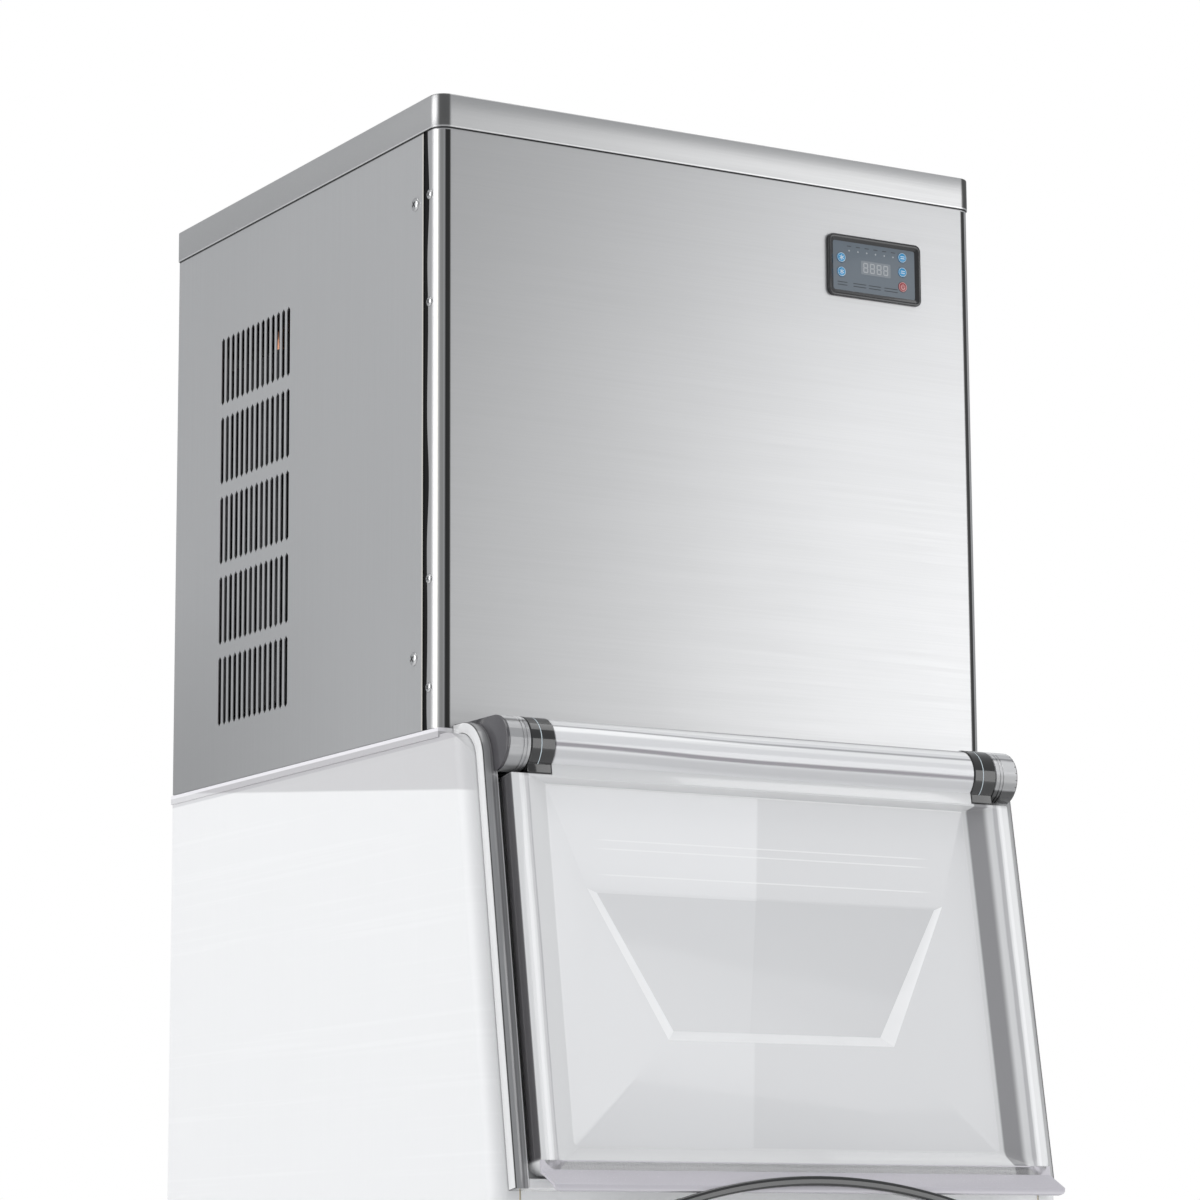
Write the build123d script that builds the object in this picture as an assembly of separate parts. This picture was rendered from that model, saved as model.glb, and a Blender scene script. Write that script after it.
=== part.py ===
from build123d import *
import math
import os

# Overall frame: X to the right, Y to the back, Z up, floor at Z = 0, millimetres.
WIDTH = 560.0
TOTAL_HEIGHT = 1620.0
HEAD_HEIGHT = 548.0
HEAD_DEPTH = 530.0
SPACER_DEPTH = 10.0
DOOR_REACH = 152.46
LEG_HEIGHT = 150.0

# Sheet metal
COVER_SHEET = 1.2
PANEL_SHEET = 1.0
PAN_SHEET = 1.2
CORNER_RADIUS = 14.0
SKIRT_HEIGHT = 29.4

# Clearances
RUN_FIT = 0.05
BODY_GAP = 0.3
KEY_GAP = 0.3

# Number of flats on bent pipes, screw heads and other round pieces that nothing turns in
PIPE_SIDES = 8
SCREW_SIDES = 12
ROUND_SIDES = 20

# Derived levels of the head, with the whole outline centred front to back
HEAD_BASE = TOTAL_HEIGHT - HEAD_HEIGHT
HEAD_FRONT = (DOOR_REACH - HEAD_DEPTH - SPACER_DEPTH) / 2
HEAD_BACK = HEAD_FRONT + HEAD_DEPTH
HALF = WIDTH / 2
SKIN_X = HALF - COVER_SHEET
SKIN_FRONT = HEAD_FRONT + COVER_SHEET
SKIN_BACK = HEAD_BACK - COVER_SHEET
INNER_X = SKIN_X - PANEL_SHEET
PANEL_BOTTOM = HEAD_BASE + 1.0
PANEL_TOP = TOTAL_HEIGHT - 6.0
PAN_TOP = HEAD_BASE + PAN_SHEET
FLANGE_END = HEAD_FRONT + 20.0
SIDE_START = HEAD_FRONT + 27.0
POST_X = INNER_X - PAN_SHEET

# Louvres in the left side panel
LOUVRE_COLUMNS = 14
LOUVRE_ROWS = 5
LOUVRE_PITCH = 10.7
LOUVRE_WIDTH = 6.4
LOUVRE_ROW_PITCH = (HEAD_HEIGHT - 169.0) / LOUVRE_ROWS
LOUVRE_LENGTH = LOUVRE_ROW_PITCH - 10.8
LOUVRE_FIRST_Y = HEAD_FRONT + 288.2
LOUVRE_TOP = TOTAL_HEIGHT - 125.8
VENT_ROWS = 7

# Control panel
BEZEL_X = HALF - 112.0
BEZEL_Z = TOTAL_HEIGHT - 100.2
BEZEL_WIDTH = 101.0
BEZEL_HEIGHT = 57.5
BEZEL_BORDER = 6.0
BEZEL_PROUD = 3.5
MEMBRANE_SHEET = 1.5
KEY_RADIUS = 4.5
KEY_TRAVEL = 0.6
KEY_PLACES = {
    "key_left_upper": (BEZEL_X - 35.7, BEZEL_Z + 7.4),
    "key_left_lower": (BEZEL_X - 35.7, BEZEL_Z - 5.8),
    "key_right_upper": (BEZEL_X + 31.0, BEZEL_Z + 15.3),
    "key_right_middle": (BEZEL_X + 31.0, BEZEL_Z + 1.8),
    "key_power": (BEZEL_X + 31.0, BEZEL_Z - 12.0),
}
DISPLAY_X = BEZEL_X + 1.9
DISPLAY_Z = BEZEL_Z + 0.8
DISPLAY_WIDTH = 33.0
DISPLAY_HEIGHT = 13.5

# Inside of the head
PARTITION_Y = HEAD_FRONT + 215.0
DROP_HALF = HALF - 93.0
DROP_FRONT = HEAD_FRONT + 23.0
DROP_BACK = HEAD_FRONT + 110.0
PLATE_HALF = DROP_HALF + 2.0
PLATE_BOTTOM = HEAD_BASE + 218.0
PLATE_TOP = TOTAL_HEIGHT - 66.0
PLATE_ROWS = 6
PLATE_COLUMNS = 9
CELL_DEPTH = 22.0
CELL_WALL = 2.0
TUBE_SET = 4.5
TUBE_LOW = PLATE_BOTTOM + 22.0
TUBE_RUNS = 5
PLATE_BACK = HEAD_FRONT + 153.0
CHEEK = 7.0
CHEEK_TOP = TOTAL_HEIGHT - 20.0
CHEEK_BOTTOM = PLATE_BOTTOM - 15.0
CURTAIN_Y = HEAD_FRONT + 112.0
CURTAIN_Z = CHEEK_TOP - 12.0
CURTAIN_BOTTOM = CHEEK_BOTTOM - 13.0
CURTAIN_SHEET = 2.0
CURTAIN_PIN = 4.0
PUMP_X = PLATE_HALF + CHEEK + 26.0
PUMP_Y = HEAD_FRONT + 178.0
PUMP_RADIUS = 24.0
TROUGH_LEFT = -PLATE_HALF - 3.0
TROUGH_RIGHT = PUMP_X + 26.0
TROUGH_FRONT = HEAD_FRONT + 117.0
TROUGH_BOTTOM = PLATE_BOTTOM - 110.0
TROUGH_TOP = TROUGH_BOTTOM + 65.0
TROUGH_WALL = 2.5
SPRAY_Z = PLATE_TOP + 16.0
SPRAY_Y = HEAD_FRONT + 141.0
SPRAY_RADIUS = 9.0
SPRAY_END = PLATE_HALF + CHEEK + 8.0
RISER_X = TROUGH_RIGHT - 16.0

# Cooling unit
COIL_FRONT = HEAD_FRONT + 265.0
COIL_BACK = HEAD_BACK - 75.0
COIL_LEFT = 22.0 - HALF
COIL_RIGHT = COIL_LEFT + 32.0
COIL_MIDDLE = (COIL_LEFT + COIL_RIGHT) / 2
COIL_BOTTOM = HEAD_BASE + 68.0
COIL_TOP = TOTAL_HEIGHT - 150.0
COIL_GROOVES = 11
BEND_COUNT = 4
FAN_Y = (COIL_FRONT + COIL_BACK) / 2
FAN_Z = (COIL_BOTTOM + COIL_TOP) / 2
FAN_X = COIL_RIGHT + 21.0
FAN_RADIUS = (COIL_BACK - COIL_FRONT) / 2 - 13.0
FAN_BLADES = 5
FAN_HUB = 14.0
FAN_SHAFT = 4.0
STRAP_REACH = FAN_RADIUS + 23.0
MOTOR_START = FAN_X + 32.0
COMPRESSOR_X = HALF - 160.0
COMPRESSOR_Y = HEAD_BACK - 150.0
COMPRESSOR_RADIUS = 74.0
COMPRESSOR_BASE = HEAD_BASE + 24.0
COMPRESSOR_TOP = COMPRESSOR_BASE + 189.0
VALVE_X = HALF - 80.0
VALVE_Z = TOTAL_HEIGHT - 80.0
VALVE_RADIUS = 13.0
GLAND_Z = HEAD_BASE + 48.0
GLAND_RADIUS = 9.0
HOSE_X = 110.0 - HALF
HOSE_Y = HEAD_FRONT + 165.0
HOSE_Z = HEAD_BASE + 40.0
HOSE_RADIUS = 8.0
FEED_X = 40.0 - HALF
FEED_Z = PLATE_TOP - 34.0
FEED_JOINT = -PLATE_HALF - 26.0
SUCTION_X = TROUGH_RIGHT - 3.0
SUCTION_Z = COMPRESSOR_TOP + 115.0
SUCTION_JOINT = PLATE_HALF + 36.0
DRIER_X = 160.0 - HALF
DRIER_BOTTOM = HEAD_BASE + 108.0
DRIER_TOP = DRIER_BOTTOM + 120.0

# Bin body
BIN_TOP = HEAD_BASE
BIN_BOTTOM = LEG_HEIGHT
BIN_BACK = SKIN_BACK
BIN_FOAM = 36.0
LINER_WALL = 2.5
DRAIN_Y = HEAD_BACK - 107.0
DRAIN_RADIUS = 14.0
NECK = 0.8
NECK_DEPTH = 0.6
DECK_SKIRT = 8.0
FRONT_JOINT = HALF - 25.5
JOINT_GAP = 1.5

# Door hinge line and the leaned front of the bin
HINGE_Y = HEAD_FRONT - 56.0
HINGE_Z = HEAD_BASE - 18.0
LEAN = 8.69
BARREL = 23.4
TUBE_RADIUS = 22.5
TUBE_BORE = 14.0
ROD = 5.0
SEAT = -15.0
RAIL_OUT = HALF - 14.0
RAIL_IN = RAIL_OUT - 13.0
EAR_OUT = RAIL_OUT - 9.0
EAR_IN = EAR_OUT - 23.0
BLOCK_IN = EAR_IN - 23.0
RAIL_FRONT = -3.0
SILL_START = 358.0
SILL_END = 366.0
BEAM_DEPTH = 12.5
BEAM_FRONT = HINGE_Y + 24.5
BEAM_BACK = BEAM_FRONT + BEAM_DEPTH
BEAM_BOTTOM = HEAD_BASE - 48.0
EDGE_TOP = BIN_TOP - 6.0
EDGE_TURN = 28.0
EDGE_BACK = HEAD_FRONT - 3.0
STRIP_TOP = BIN_TOP + 3.0
STRIP_TURN = 36.0
MOUTH_HALF = RAIL_IN - 31.0
MOUTH_START = 44.0
MOUTH_END = 316.0

# Door
DOOR_HALF = RAIL_IN - 3.0
DOOR_WALL = 3.0
DOOR_FRONT = 13.0
DOOR_BACK = -12.0
DOOR_START = 27.0
DOOR_END = 354.0
RIM = 16.0
FLANGE = 22.0
PANEL_HALF = DOOR_HALF - RIM - 24.0
PANEL_FRONT = -2.0
PANEL_START = 31.0
PANEL_END = 332.0
LIP_FRONT = 31.0
LIP_START = 368.0
HANDLE_TOP = 360.0
HANDLE_BOTTOM = 416.0
HANDLE_HALF = 135.0
HANDLE_BAR = 8.0
HANDLE_PROUD = 3.0

# Legs
LEG_X = HALF - 45.0
LEG_FRONT = HEAD_FRONT - 52.0
LEG_BACK = HEAD_BACK - 47.0
LEG_END = 40.0
LEG_TOP_RADIUS = 25.0
LEG_LOW_RADIUS = 19.0
FOOT_RADIUS = 26.0
FOOT_HEIGHT = 10.0
STEM = 9.0


def box(x0, x1, y0, y1, z0, z1):
    """Box between two corners."""
    middle = Pos((x0 + x1) / 2, (y0 + y1) / 2, (z0 + z1) / 2)
    return middle * Box(x1 - x0, y1 - y0, z1 - z0)


def rod(radius, length, sides):
    """Upright bar about the origin: round, or with flat sides where a number is given."""
    if sides == 0:
        return Cylinder(radius, length)
    return Pos(0, 0, -length / 2) * extrude(RegularPolygon(radius, sides), length)


def bar_x(radius, x0, x1, y, z, sides=0):
    """Bar along X."""
    return Pos((x0 + x1) / 2, y, z) * Rot(Y=90) * rod(radius, x1 - x0, sides)


def bar_y(radius, x, y0, y1, z, sides=0):
    """Bar along Y."""
    return Pos(x, (y0 + y1) / 2, z) * Rot(X=90) * rod(radius, y1 - y0, sides)


def bar_z(radius, x, y, z0, z1, sides=0):
    """Bar along Z."""
    return Pos(x, y, (z0 + z1) / 2) * rod(radius, z1 - z0, sides)


def prism(points, x0, x1):
    """Side profile of (Y, Z) points drawn out along X."""
    face = Plane.YZ * make_face(Polyline(*points, close=True))
    return Pos(x0, 0, 0) * extrude(face, x1 - x0)


def pipe(points, radius, bend):
    """Round pipe through the points, each corner cut short by the bend."""
    route = [Vector(*p) for p in points]
    path = [route[0]]
    for before, corner, after in zip(route, route[1:], route[2:]):
        path.append(corner + (before - corner).normalized() * bend)
        path.append(corner + (after - corner).normalized() * bend)
    path.append(route[-1])
    line = Polyline(*path)
    start = Plane(origin=line @ 0, z_dir=line % 0)
    return sweep(start * RegularPolygon(radius, PIPE_SIDES), path=line, transition=Transition.RIGHT)


def group(shapes):
    """Several loose solids kept together in one file."""
    return Compound(children=[s.solid() if isinstance(s, Part) else s for s in shapes])


def both_sides(shape):
    """The shape and its mirror image across the middle plane."""
    return [shape, mirror(shape, about=Plane.YZ)]


def slab(x0, x1, out0, out1, down0, down1):
    """Box in the door frame: distance out of the door face and down from the hinge."""
    return box(x0, x1, -out1, -out0, -down1, -down0)


def door_prism(points, x0, x1):
    """Side profile of (out, down) points in the door frame drawn out along X."""
    return prism([(-out, -down) for out, down in points], x0, x1)


def lean(shape):
    """Moves a shape from the door frame to its place on the bin."""
    return Pos(0, HINGE_Y, HINGE_Z) * Rot(X=-LEAN) * shape


def lean_point(out, down):
    """(Y, Z) of a point given in the door frame."""
    a = math.radians(LEAN)
    y = HINGE_Y - down * math.sin(a) - out * math.cos(a)
    z = HINGE_Z - down * math.cos(a) + out * math.sin(a)
    return y, z


# Head casing

def round_front(x_half, y0, y1, z0, z1, radius):
    """Block with its two upright front edges rounded."""
    block = box(-x_half, x_half, y0, y1, z0, z1)
    edges = block.edges().filter_by(Axis.Z).group_by(Axis.Y)[0]
    return fillet(edges, radius)


def top_cover():
    outer = round_front(HALF, HEAD_FRONT, HEAD_BACK, TOTAL_HEIGHT - SKIRT_HEIGHT,
                        TOTAL_HEIGHT, CORNER_RADIUS)
    inner = round_front(SKIN_X, SKIN_FRONT, SKIN_BACK, TOTAL_HEIGHT - SKIRT_HEIGHT - 1,
                        TOTAL_HEIGHT - COVER_SHEET, CORNER_RADIUS - COVER_SHEET)
    return outer - inner


def rear_spacers():
    tab = box(8 - HALF, 28 - HALF, HEAD_BACK, HEAD_BACK + SPACER_DEPTH,
              TOTAL_HEIGHT - 38, TOTAL_HEIGHT - 16)
    return group(both_sides(tab))


def front_panel():
    radius = CORNER_RADIUS - COVER_SHEET
    outer = round_front(SKIN_X, SKIN_FRONT, FLANGE_END, PANEL_BOTTOM, PANEL_TOP, radius)
    inner = round_front(INNER_X, SKIN_FRONT + PANEL_SHEET, FLANGE_END + 1, PANEL_BOTTOM - 1,
                        PANEL_TOP + 1, radius - PANEL_SHEET)
    hole = box(BEZEL_X - BEZEL_WIDTH / 2 + 4, BEZEL_X + BEZEL_WIDTH / 2 - 4,
               HEAD_FRONT - 5, HEAD_FRONT + 10,
               BEZEL_Z - BEZEL_HEIGHT / 2 + 4, BEZEL_Z + BEZEL_HEIGHT / 2 - 4)
    return outer - inner - hole


def louvres():
    """Row and column pattern of upright slots through the left side panel."""
    slots = []
    for row in range(LOUVRE_ROWS):
        top = LOUVRE_TOP - row * LOUVRE_ROW_PITCH
        for column in range(LOUVRE_COLUMNS):
            y = LOUVRE_FIRST_Y + column * LOUVRE_PITCH
            slots.append(box(-HALF, -INNER_X + 1, y - LOUVRE_WIDTH / 2, y + LOUVRE_WIDTH / 2,
                             top - LOUVRE_LENGTH, top))
    return slots


def side_panel():
    sheet = box(-SKIN_X, -INNER_X, SIDE_START, SKIN_BACK, PANEL_BOTTOM, PANEL_TOP)
    flange = box(-INNER_X, -INNER_X + 10, SIDE_START + 20, SKIN_BACK - 30,
                 PANEL_TOP - PANEL_SHEET, PANEL_TOP)
    return sheet + flange


def side_panel_left():
    return side_panel() - louvres()


def side_panel_right():
    return mirror(side_panel(), about=Plane.YZ)


def back_panel():
    sheet = box(-INNER_X, INNER_X, SKIN_BACK - PANEL_SHEET, SKIN_BACK, PANEL_BOTTOM, PANEL_TOP)
    cuts = []
    for row in range(VENT_ROWS):
        z = FAN_Z - FAN_RADIUS + row * 28
        for x in (FAN_X + 15, FAN_X + 145):
            cuts.append(box(x, x + 110, SKIN_BACK - 5, SKIN_BACK + 5, z, z + 10))
    cuts.append(bar_y(VALVE_RADIUS, VALVE_X, SKIN_BACK - 5, SKIN_BACK + 5, VALVE_Z))
    for reach, x, z in ((GLAND_RADIUS, VALVE_X, GLAND_Z), (HOSE_RADIUS, HOSE_X, HOSE_Z)):
        cuts.append(box(x - reach, x + reach, SKIN_BACK - 5, SKIN_BACK + 5, z - reach, z + reach))
    return sheet - cuts


def base_pan():
    tray = box(-INNER_X, INNER_X, SKIN_FRONT + PANEL_SHEET, SKIN_BACK - PANEL_SHEET,
               HEAD_BASE, HEAD_BASE + 25)
    inside = box(-POST_X, POST_X, SKIN_FRONT + PANEL_SHEET + PAN_SHEET,
                 SKIN_BACK - PANEL_SHEET - PAN_SHEET, PAN_TOP, HEAD_BASE + 26)
    corner = tray.edges().filter_by(Axis.Z).group_by(Axis.Y)[0]
    tray = fillet(corner, CORNER_RADIUS - COVER_SHEET - PANEL_SHEET)
    inner_corner = inside.edges().filter_by(Axis.Z).group_by(Axis.Y)[0]
    inside = fillet(inner_corner, CORNER_RADIUS - COVER_SHEET - PANEL_SHEET - PAN_SHEET)
    drop = box(-DROP_HALF, DROP_HALF, DROP_FRONT, DROP_BACK, HEAD_BASE - 1, PAN_TOP + 1)
    return tray - inside - drop


def front_post():
    """Upright behind the joint of front and side panel."""
    top = TOTAL_HEIGHT - COVER_SHEET
    face = box(-POST_X, -POST_X + 1.5, HEAD_FRONT + 15, HEAD_FRONT + 43, PAN_TOP, top)
    leg = box(-POST_X + 1.5, -POST_X + 22, HEAD_FRONT + 41.5, HEAD_FRONT + 43, PAN_TOP, top)
    return face + leg


def rear_post():
    """Upright in the corner of side and back panel."""
    top = TOTAL_HEIGHT - COVER_SHEET
    back = SKIN_BACK - PANEL_SHEET - PAN_SHEET
    face = box(-POST_X, -POST_X + 1.5, back - 25, back, PAN_TOP, top)
    leg = box(-POST_X + 1.5, -POST_X + 25, back - 1.5, back, PAN_TOP, top)
    return face + leg


def head_posts():
    return group(both_sides(front_post()) + both_sides(rear_post()))


def joint_gaskets():
    """Black rubber strips in the joints between front and side panels."""
    strip = box(-SKIN_X + 0.4, -POST_X, FLANGE_END, SIDE_START, PAN_TOP + 24, PANEL_TOP)
    return group(both_sides(strip))


def partition():
    sheet = box(-POST_X + 1.5, POST_X - 1.5, PARTITION_Y, PARTITION_Y + PAN_SHEET,
                PAN_TOP, PANEL_TOP - PANEL_SHEET)
    foot = box(-POST_X + 1.5, POST_X - 1.5, PARTITION_Y + PAN_SHEET, PARTITION_Y + 15,
               PAN_TOP, PAN_TOP + PAN_SHEET)
    holes = [box(x - half, x + half, PARTITION_Y - 5, PARTITION_Y + 20, z - half, z + half)
             for half, x, z in ((HOSE_RADIUS, HOSE_X, HOSE_Z), (4, FEED_X, FEED_Z),
                                (5, SUCTION_X, SUCTION_Z))]
    return sheet + foot - holes


def screw(radius, height, y, z):
    """Head of a screw in the left side."""
    head = extrude(RegularPolygon(radius, SCREW_SIDES), height)
    return Pos(-SKIN_X - height, y, z) * Rot(Y=90) * head


def casing_screws():
    """Two larger screws per side panel, four small ones per front panel flange."""
    large = [(HEAD_FRONT + 41, TOTAL_HEIGHT - 90), (HEAD_FRONT + 42, HEAD_BASE + 63.5)]
    small = [(HEAD_FRONT + 15.5, z) for z in (TOTAL_HEIGHT - 87, TOTAL_HEIGHT - 181,
                                              HEAD_BASE + 128, HEAD_BASE + 36)]
    heads = []
    for y, z in large:
        heads += both_sides(screw(4.6, 2.2, y, z))
    for y, z in small:
        heads += both_sides(screw(3.6, 1.6, y, z))
    return group(heads)


# Control unit

def control_bezel():
    front = HEAD_FRONT + COVER_SHEET - BEZEL_PROUD
    plate = box(BEZEL_X - BEZEL_WIDTH / 2, BEZEL_X + BEZEL_WIDTH / 2, front, SKIN_FRONT,
                BEZEL_Z - BEZEL_HEIGHT / 2, BEZEL_Z + BEZEL_HEIGHT / 2)
    plate = fillet(plate.edges().filter_by(Axis.Y), 6.0)
    sleeve = box(BEZEL_X - BEZEL_WIDTH / 2 + 4, BEZEL_X + BEZEL_WIDTH / 2 - 4,
                 SKIN_FRONT, SKIN_FRONT + 12,
                 BEZEL_Z - BEZEL_HEIGHT / 2 + 4, BEZEL_Z + BEZEL_HEIGHT / 2 - 4)
    return plate + sleeve - control_window(front - 1, SKIN_FRONT + 13)


def control_window(y0, y1):
    """Inside of the bezel between two depths."""
    return box(BEZEL_X - BEZEL_WIDTH / 2 + BEZEL_BORDER, BEZEL_X + BEZEL_WIDTH / 2 - BEZEL_BORDER,
               y0, y1,
               BEZEL_Z - BEZEL_HEIGHT / 2 + BEZEL_BORDER, BEZEL_Z + BEZEL_HEIGHT / 2 - BEZEL_BORDER)


def control_membrane():
    plate = control_window(SKIN_FRONT - MEMBRANE_SHEET, SKIN_FRONT)
    holes = [bar_y(KEY_RADIUS + KEY_GAP, x, SKIN_FRONT - 5, SKIN_FRONT + 5, z, ROUND_SIDES)
             for x, z in KEY_PLACES.values()]
    return plate - holes - display_block(SKIN_FRONT - 5, SKIN_FRONT + 5)


def display_block(y0, y1):
    return box(DISPLAY_X - DISPLAY_WIDTH / 2, DISPLAY_X + DISPLAY_WIDTH / 2, y0, y1,
               DISPLAY_Z - DISPLAY_HEIGHT / 2, DISPLAY_Z + DISPLAY_HEIGHT / 2)


def control_display():
    return display_block(SKIN_FRONT - MEMBRANE_SHEET - 0.2, SKIN_FRONT + 7)


def key(x, z):
    cap = bar_y(KEY_RADIUS, x, SKIN_FRONT - MEMBRANE_SHEET - 0.8, SKIN_FRONT + 0.5, z, ROUND_SIDES)
    reach = KEY_RADIUS + 1.2
    collar = box(x - reach, x + reach, SKIN_FRONT + 0.5, SKIN_FRONT + 1.5, z - reach, z + reach)
    return cap + collar


def control_board():
    """Circuit board with one small switch behind each key."""
    board = control_window(SKIN_FRONT + 7, SKIN_FRONT + 8.6)
    for x, z in KEY_PLACES.values():
        board += box(x - 3, x + 3, SKIN_FRONT + 1.5 + KEY_TRAVEL + 0.3, SKIN_FRONT + 7, z - 3, z + 3)
    return board


# Ice making side

def evaporator():
    """Vertical tray of ice cells, open to the front, with the tube brazed on its back."""
    top = PLATE_TOP
    sheet = box(-PLATE_HALF, PLATE_HALF, PLATE_BACK - CELL_WALL, PLATE_BACK, PLATE_BOTTOM, top)
    walls = []
    for column in range(PLATE_COLUMNS + 1):
        x = -PLATE_HALF + column * (2 * PLATE_HALF - CELL_WALL) / PLATE_COLUMNS
        walls.append(box(x, x + CELL_WALL, PLATE_BACK - CELL_DEPTH, PLATE_BACK, PLATE_BOTTOM, top))
    for row in range(PLATE_ROWS + 1):
        z = PLATE_BOTTOM + row * (PLATE_TOP - PLATE_BOTTOM - CELL_WALL) / PLATE_ROWS
        walls.append(box(-PLATE_HALF, PLATE_HALF, PLATE_BACK - CELL_DEPTH, PLATE_BACK,
                         z, z + CELL_WALL))
    y = PLATE_BACK + TUBE_SET
    points = [(FEED_JOINT, y, FEED_Z)]
    for run in range(TUBE_RUNS - 1):
        x = (PLATE_HALF - 30) * (1 if run % 2 == 0 else -1)
        for level in (run, run + 1):
            points.append((x, y, FEED_Z - level * (FEED_Z - TUBE_LOW) / (TUBE_RUNS - 1)))
    points.append((SUCTION_JOINT, y, TUBE_LOW))
    return sheet + walls + pipe(points, 5, 12)


def evaporator_frame():
    """Moulded surround that carries plate, spray tube and curtain."""
    top = CHEEK_TOP
    front = CURTAIN_Y - 9
    back = PARTITION_Y
    cheeks = []
    for side in (-1, 1):
        inner, outer = side * PLATE_HALF, side * (PLATE_HALF + CHEEK)
        cheeks.append(box(min(inner, outer), max(inner, outer), front, back, CHEEK_BOTTOM, top))
    bar = box(-PLATE_HALF, PLATE_HALF, PLATE_BACK - CELL_DEPTH, PLATE_BACK, SPRAY_Z + 10, top)
    ledge = box(-PLATE_HALF, PLATE_HALF, PLATE_BACK - CELL_DEPTH, PLATE_BACK, CHEEK_BOTTOM, PLATE_BOTTOM)
    pin_holes = bar_x(CURTAIN_PIN + RUN_FIT, -PLATE_HALF - 30, PLATE_HALF + 30, CURTAIN_Y, CURTAIN_Z)
    spray_holes = bar_x(SPRAY_RADIUS, -PLATE_HALF - 30, PLATE_HALF + 30, SPRAY_Y, SPRAY_Z, SCREW_SIDES)
    y = PLATE_BACK + TUBE_SET
    tube_slots = [box(-PLATE_HALF - 20, -PLATE_HALF + 1, y - 6, y + 6, FEED_Z - 6, FEED_Z + 6),
                  box(PLATE_HALF - 1, PLATE_HALF + 20, y - 6, y + 6, TUBE_LOW - 6, TUBE_LOW + 6)]
    window = [box(-PLATE_HALF - 20, PLATE_HALF + 20, PLATE_BACK + 14, back - 12,
                  PLATE_BOTTOM + 10, PLATE_TOP - 54)]
    frame = cheeks[0] + cheeks[1] + bar + ledge
    return frame - pin_holes - spray_holes - tube_slots - window


def spray_tube():
    tube = bar_x(SPRAY_RADIUS, -PLATE_HALF - CHEEK, SPRAY_END, SPRAY_Y, SPRAY_Z, SCREW_SIDES)
    return tube - bar_x(SPRAY_RADIUS - 2, -PLATE_HALF, SPRAY_END + 1, SPRAY_Y, SPRAY_Z, SCREW_SIDES)


def water_curtain():
    """Swinging sheet that keeps the water on the plate and lets the ice fall."""
    half = PLATE_HALF - 3
    sheet = box(-half, half, CURTAIN_Y - CURTAIN_SHEET / 2, CURTAIN_Y + CURTAIN_SHEET / 2,
                CURTAIN_BOTTOM, CURTAIN_Z)
    hem = box(-half, half, CURTAIN_Y - 4, CURTAIN_Y + CURTAIN_SHEET / 2,
              CURTAIN_BOTTOM - 3, CURTAIN_BOTTOM)
    pin = bar_x(CURTAIN_PIN, -PLATE_HALF - CHEEK + 1, PLATE_HALF + CHEEK - 1, CURTAIN_Y, CURTAIN_Z)
    return sheet + hem + pin


def water_trough():
    outer = box(TROUGH_LEFT, TROUGH_RIGHT, TROUGH_FRONT, PARTITION_Y, TROUGH_BOTTOM, TROUGH_TOP)
    inner = box(TROUGH_LEFT + TROUGH_WALL, TROUGH_RIGHT - TROUGH_WALL,
                TROUGH_FRONT + TROUGH_WALL, PARTITION_Y - TROUGH_WALL,
                TROUGH_BOTTOM + TROUGH_WALL, TROUGH_TOP + 1)
    drain = bar_z(HOSE_RADIUS - 2, HOSE_X, HOSE_Y, TROUGH_BOTTOM - 1, TROUGH_BOTTOM + 5, PIPE_SIDES)
    return outer - inner - drain


def water_pump():
    """Pump housing in the trough, carrier plate on the rim and motor above it."""
    x, y = PUMP_X, PUMP_Y
    neck = TROUGH_BOTTOM + 26
    body = bar_z(PUMP_RADIUS - 6, x, y, TROUGH_BOTTOM + TROUGH_WALL, neck, SCREW_SIDES)
    column = box(x - 8, x + 8, y - 8, y + 8, neck, TROUGH_TOP)
    plate = box(x - PUMP_RADIUS, TROUGH_RIGHT, TROUGH_FRONT, PARTITION_Y, TROUGH_TOP, TROUGH_TOP + 2)
    stub = bar_z(6, RISER_X, SPRAY_Y, TROUGH_TOP + 2, TROUGH_TOP + 14, PIPE_SIDES)
    motor = bar_z(PUMP_RADIUS, x, y, TROUGH_TOP + 2, TROUGH_TOP + 59, ROUND_SIDES)
    return body + column + plate + stub + motor


def pump_hose():
    points = [(SPRAY_END, SPRAY_Y, SPRAY_Z), (RISER_X, SPRAY_Y, SPRAY_Z),
              (RISER_X, SPRAY_Y, TROUGH_TOP + 14)]
    return pipe(points, 8, 18)


def level_probe():
    x, y = TROUGH_LEFT + 42, TROUGH_FRONT
    clip = box(x - 12, x + 12, y, y + 22, TROUGH_TOP, TROUGH_TOP + 26)
    rods = [box(x + shift - 1.5, x + shift + 1.5, y + 10, y + 13, end, TROUGH_TOP)
            for shift, end in ((-6, TROUGH_BOTTOM + 16), (6, TROUGH_BOTTOM + 30))]
    return clip + rods


def drain_hose():
    points = [(HOSE_X, HOSE_Y, TROUGH_BOTTOM), (HOSE_X, HOSE_Y, HOSE_Z),
              (HOSE_X, HEAD_BACK + 8, HOSE_Z)]
    return pipe(points, HOSE_RADIUS, 20)


# Cooling unit behind the partition

def condenser_coil():
    """Fin block grooved on both faces, with the return bends of its tube."""
    block = box(COIL_LEFT, COIL_RIGHT, COIL_FRONT, COIL_BACK, COIL_BOTTOM, COIL_TOP)
    grooves = []
    pitch = (COIL_BACK - COIL_FRONT) / COIL_GROOVES
    for n in range(COIL_GROOVES):
        y = COIL_FRONT + (n + 0.3) * pitch
        for x0, x1 in ((COIL_LEFT - 1, COIL_LEFT + 9), (COIL_RIGHT - 9, COIL_RIGHT + 1)):
            grooves.append(box(x0, x1, y, y + pitch * 0.55, COIL_BOTTOM - 1, COIL_TOP + 1))
    return group([block - grooves] + condenser_bends())


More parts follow.
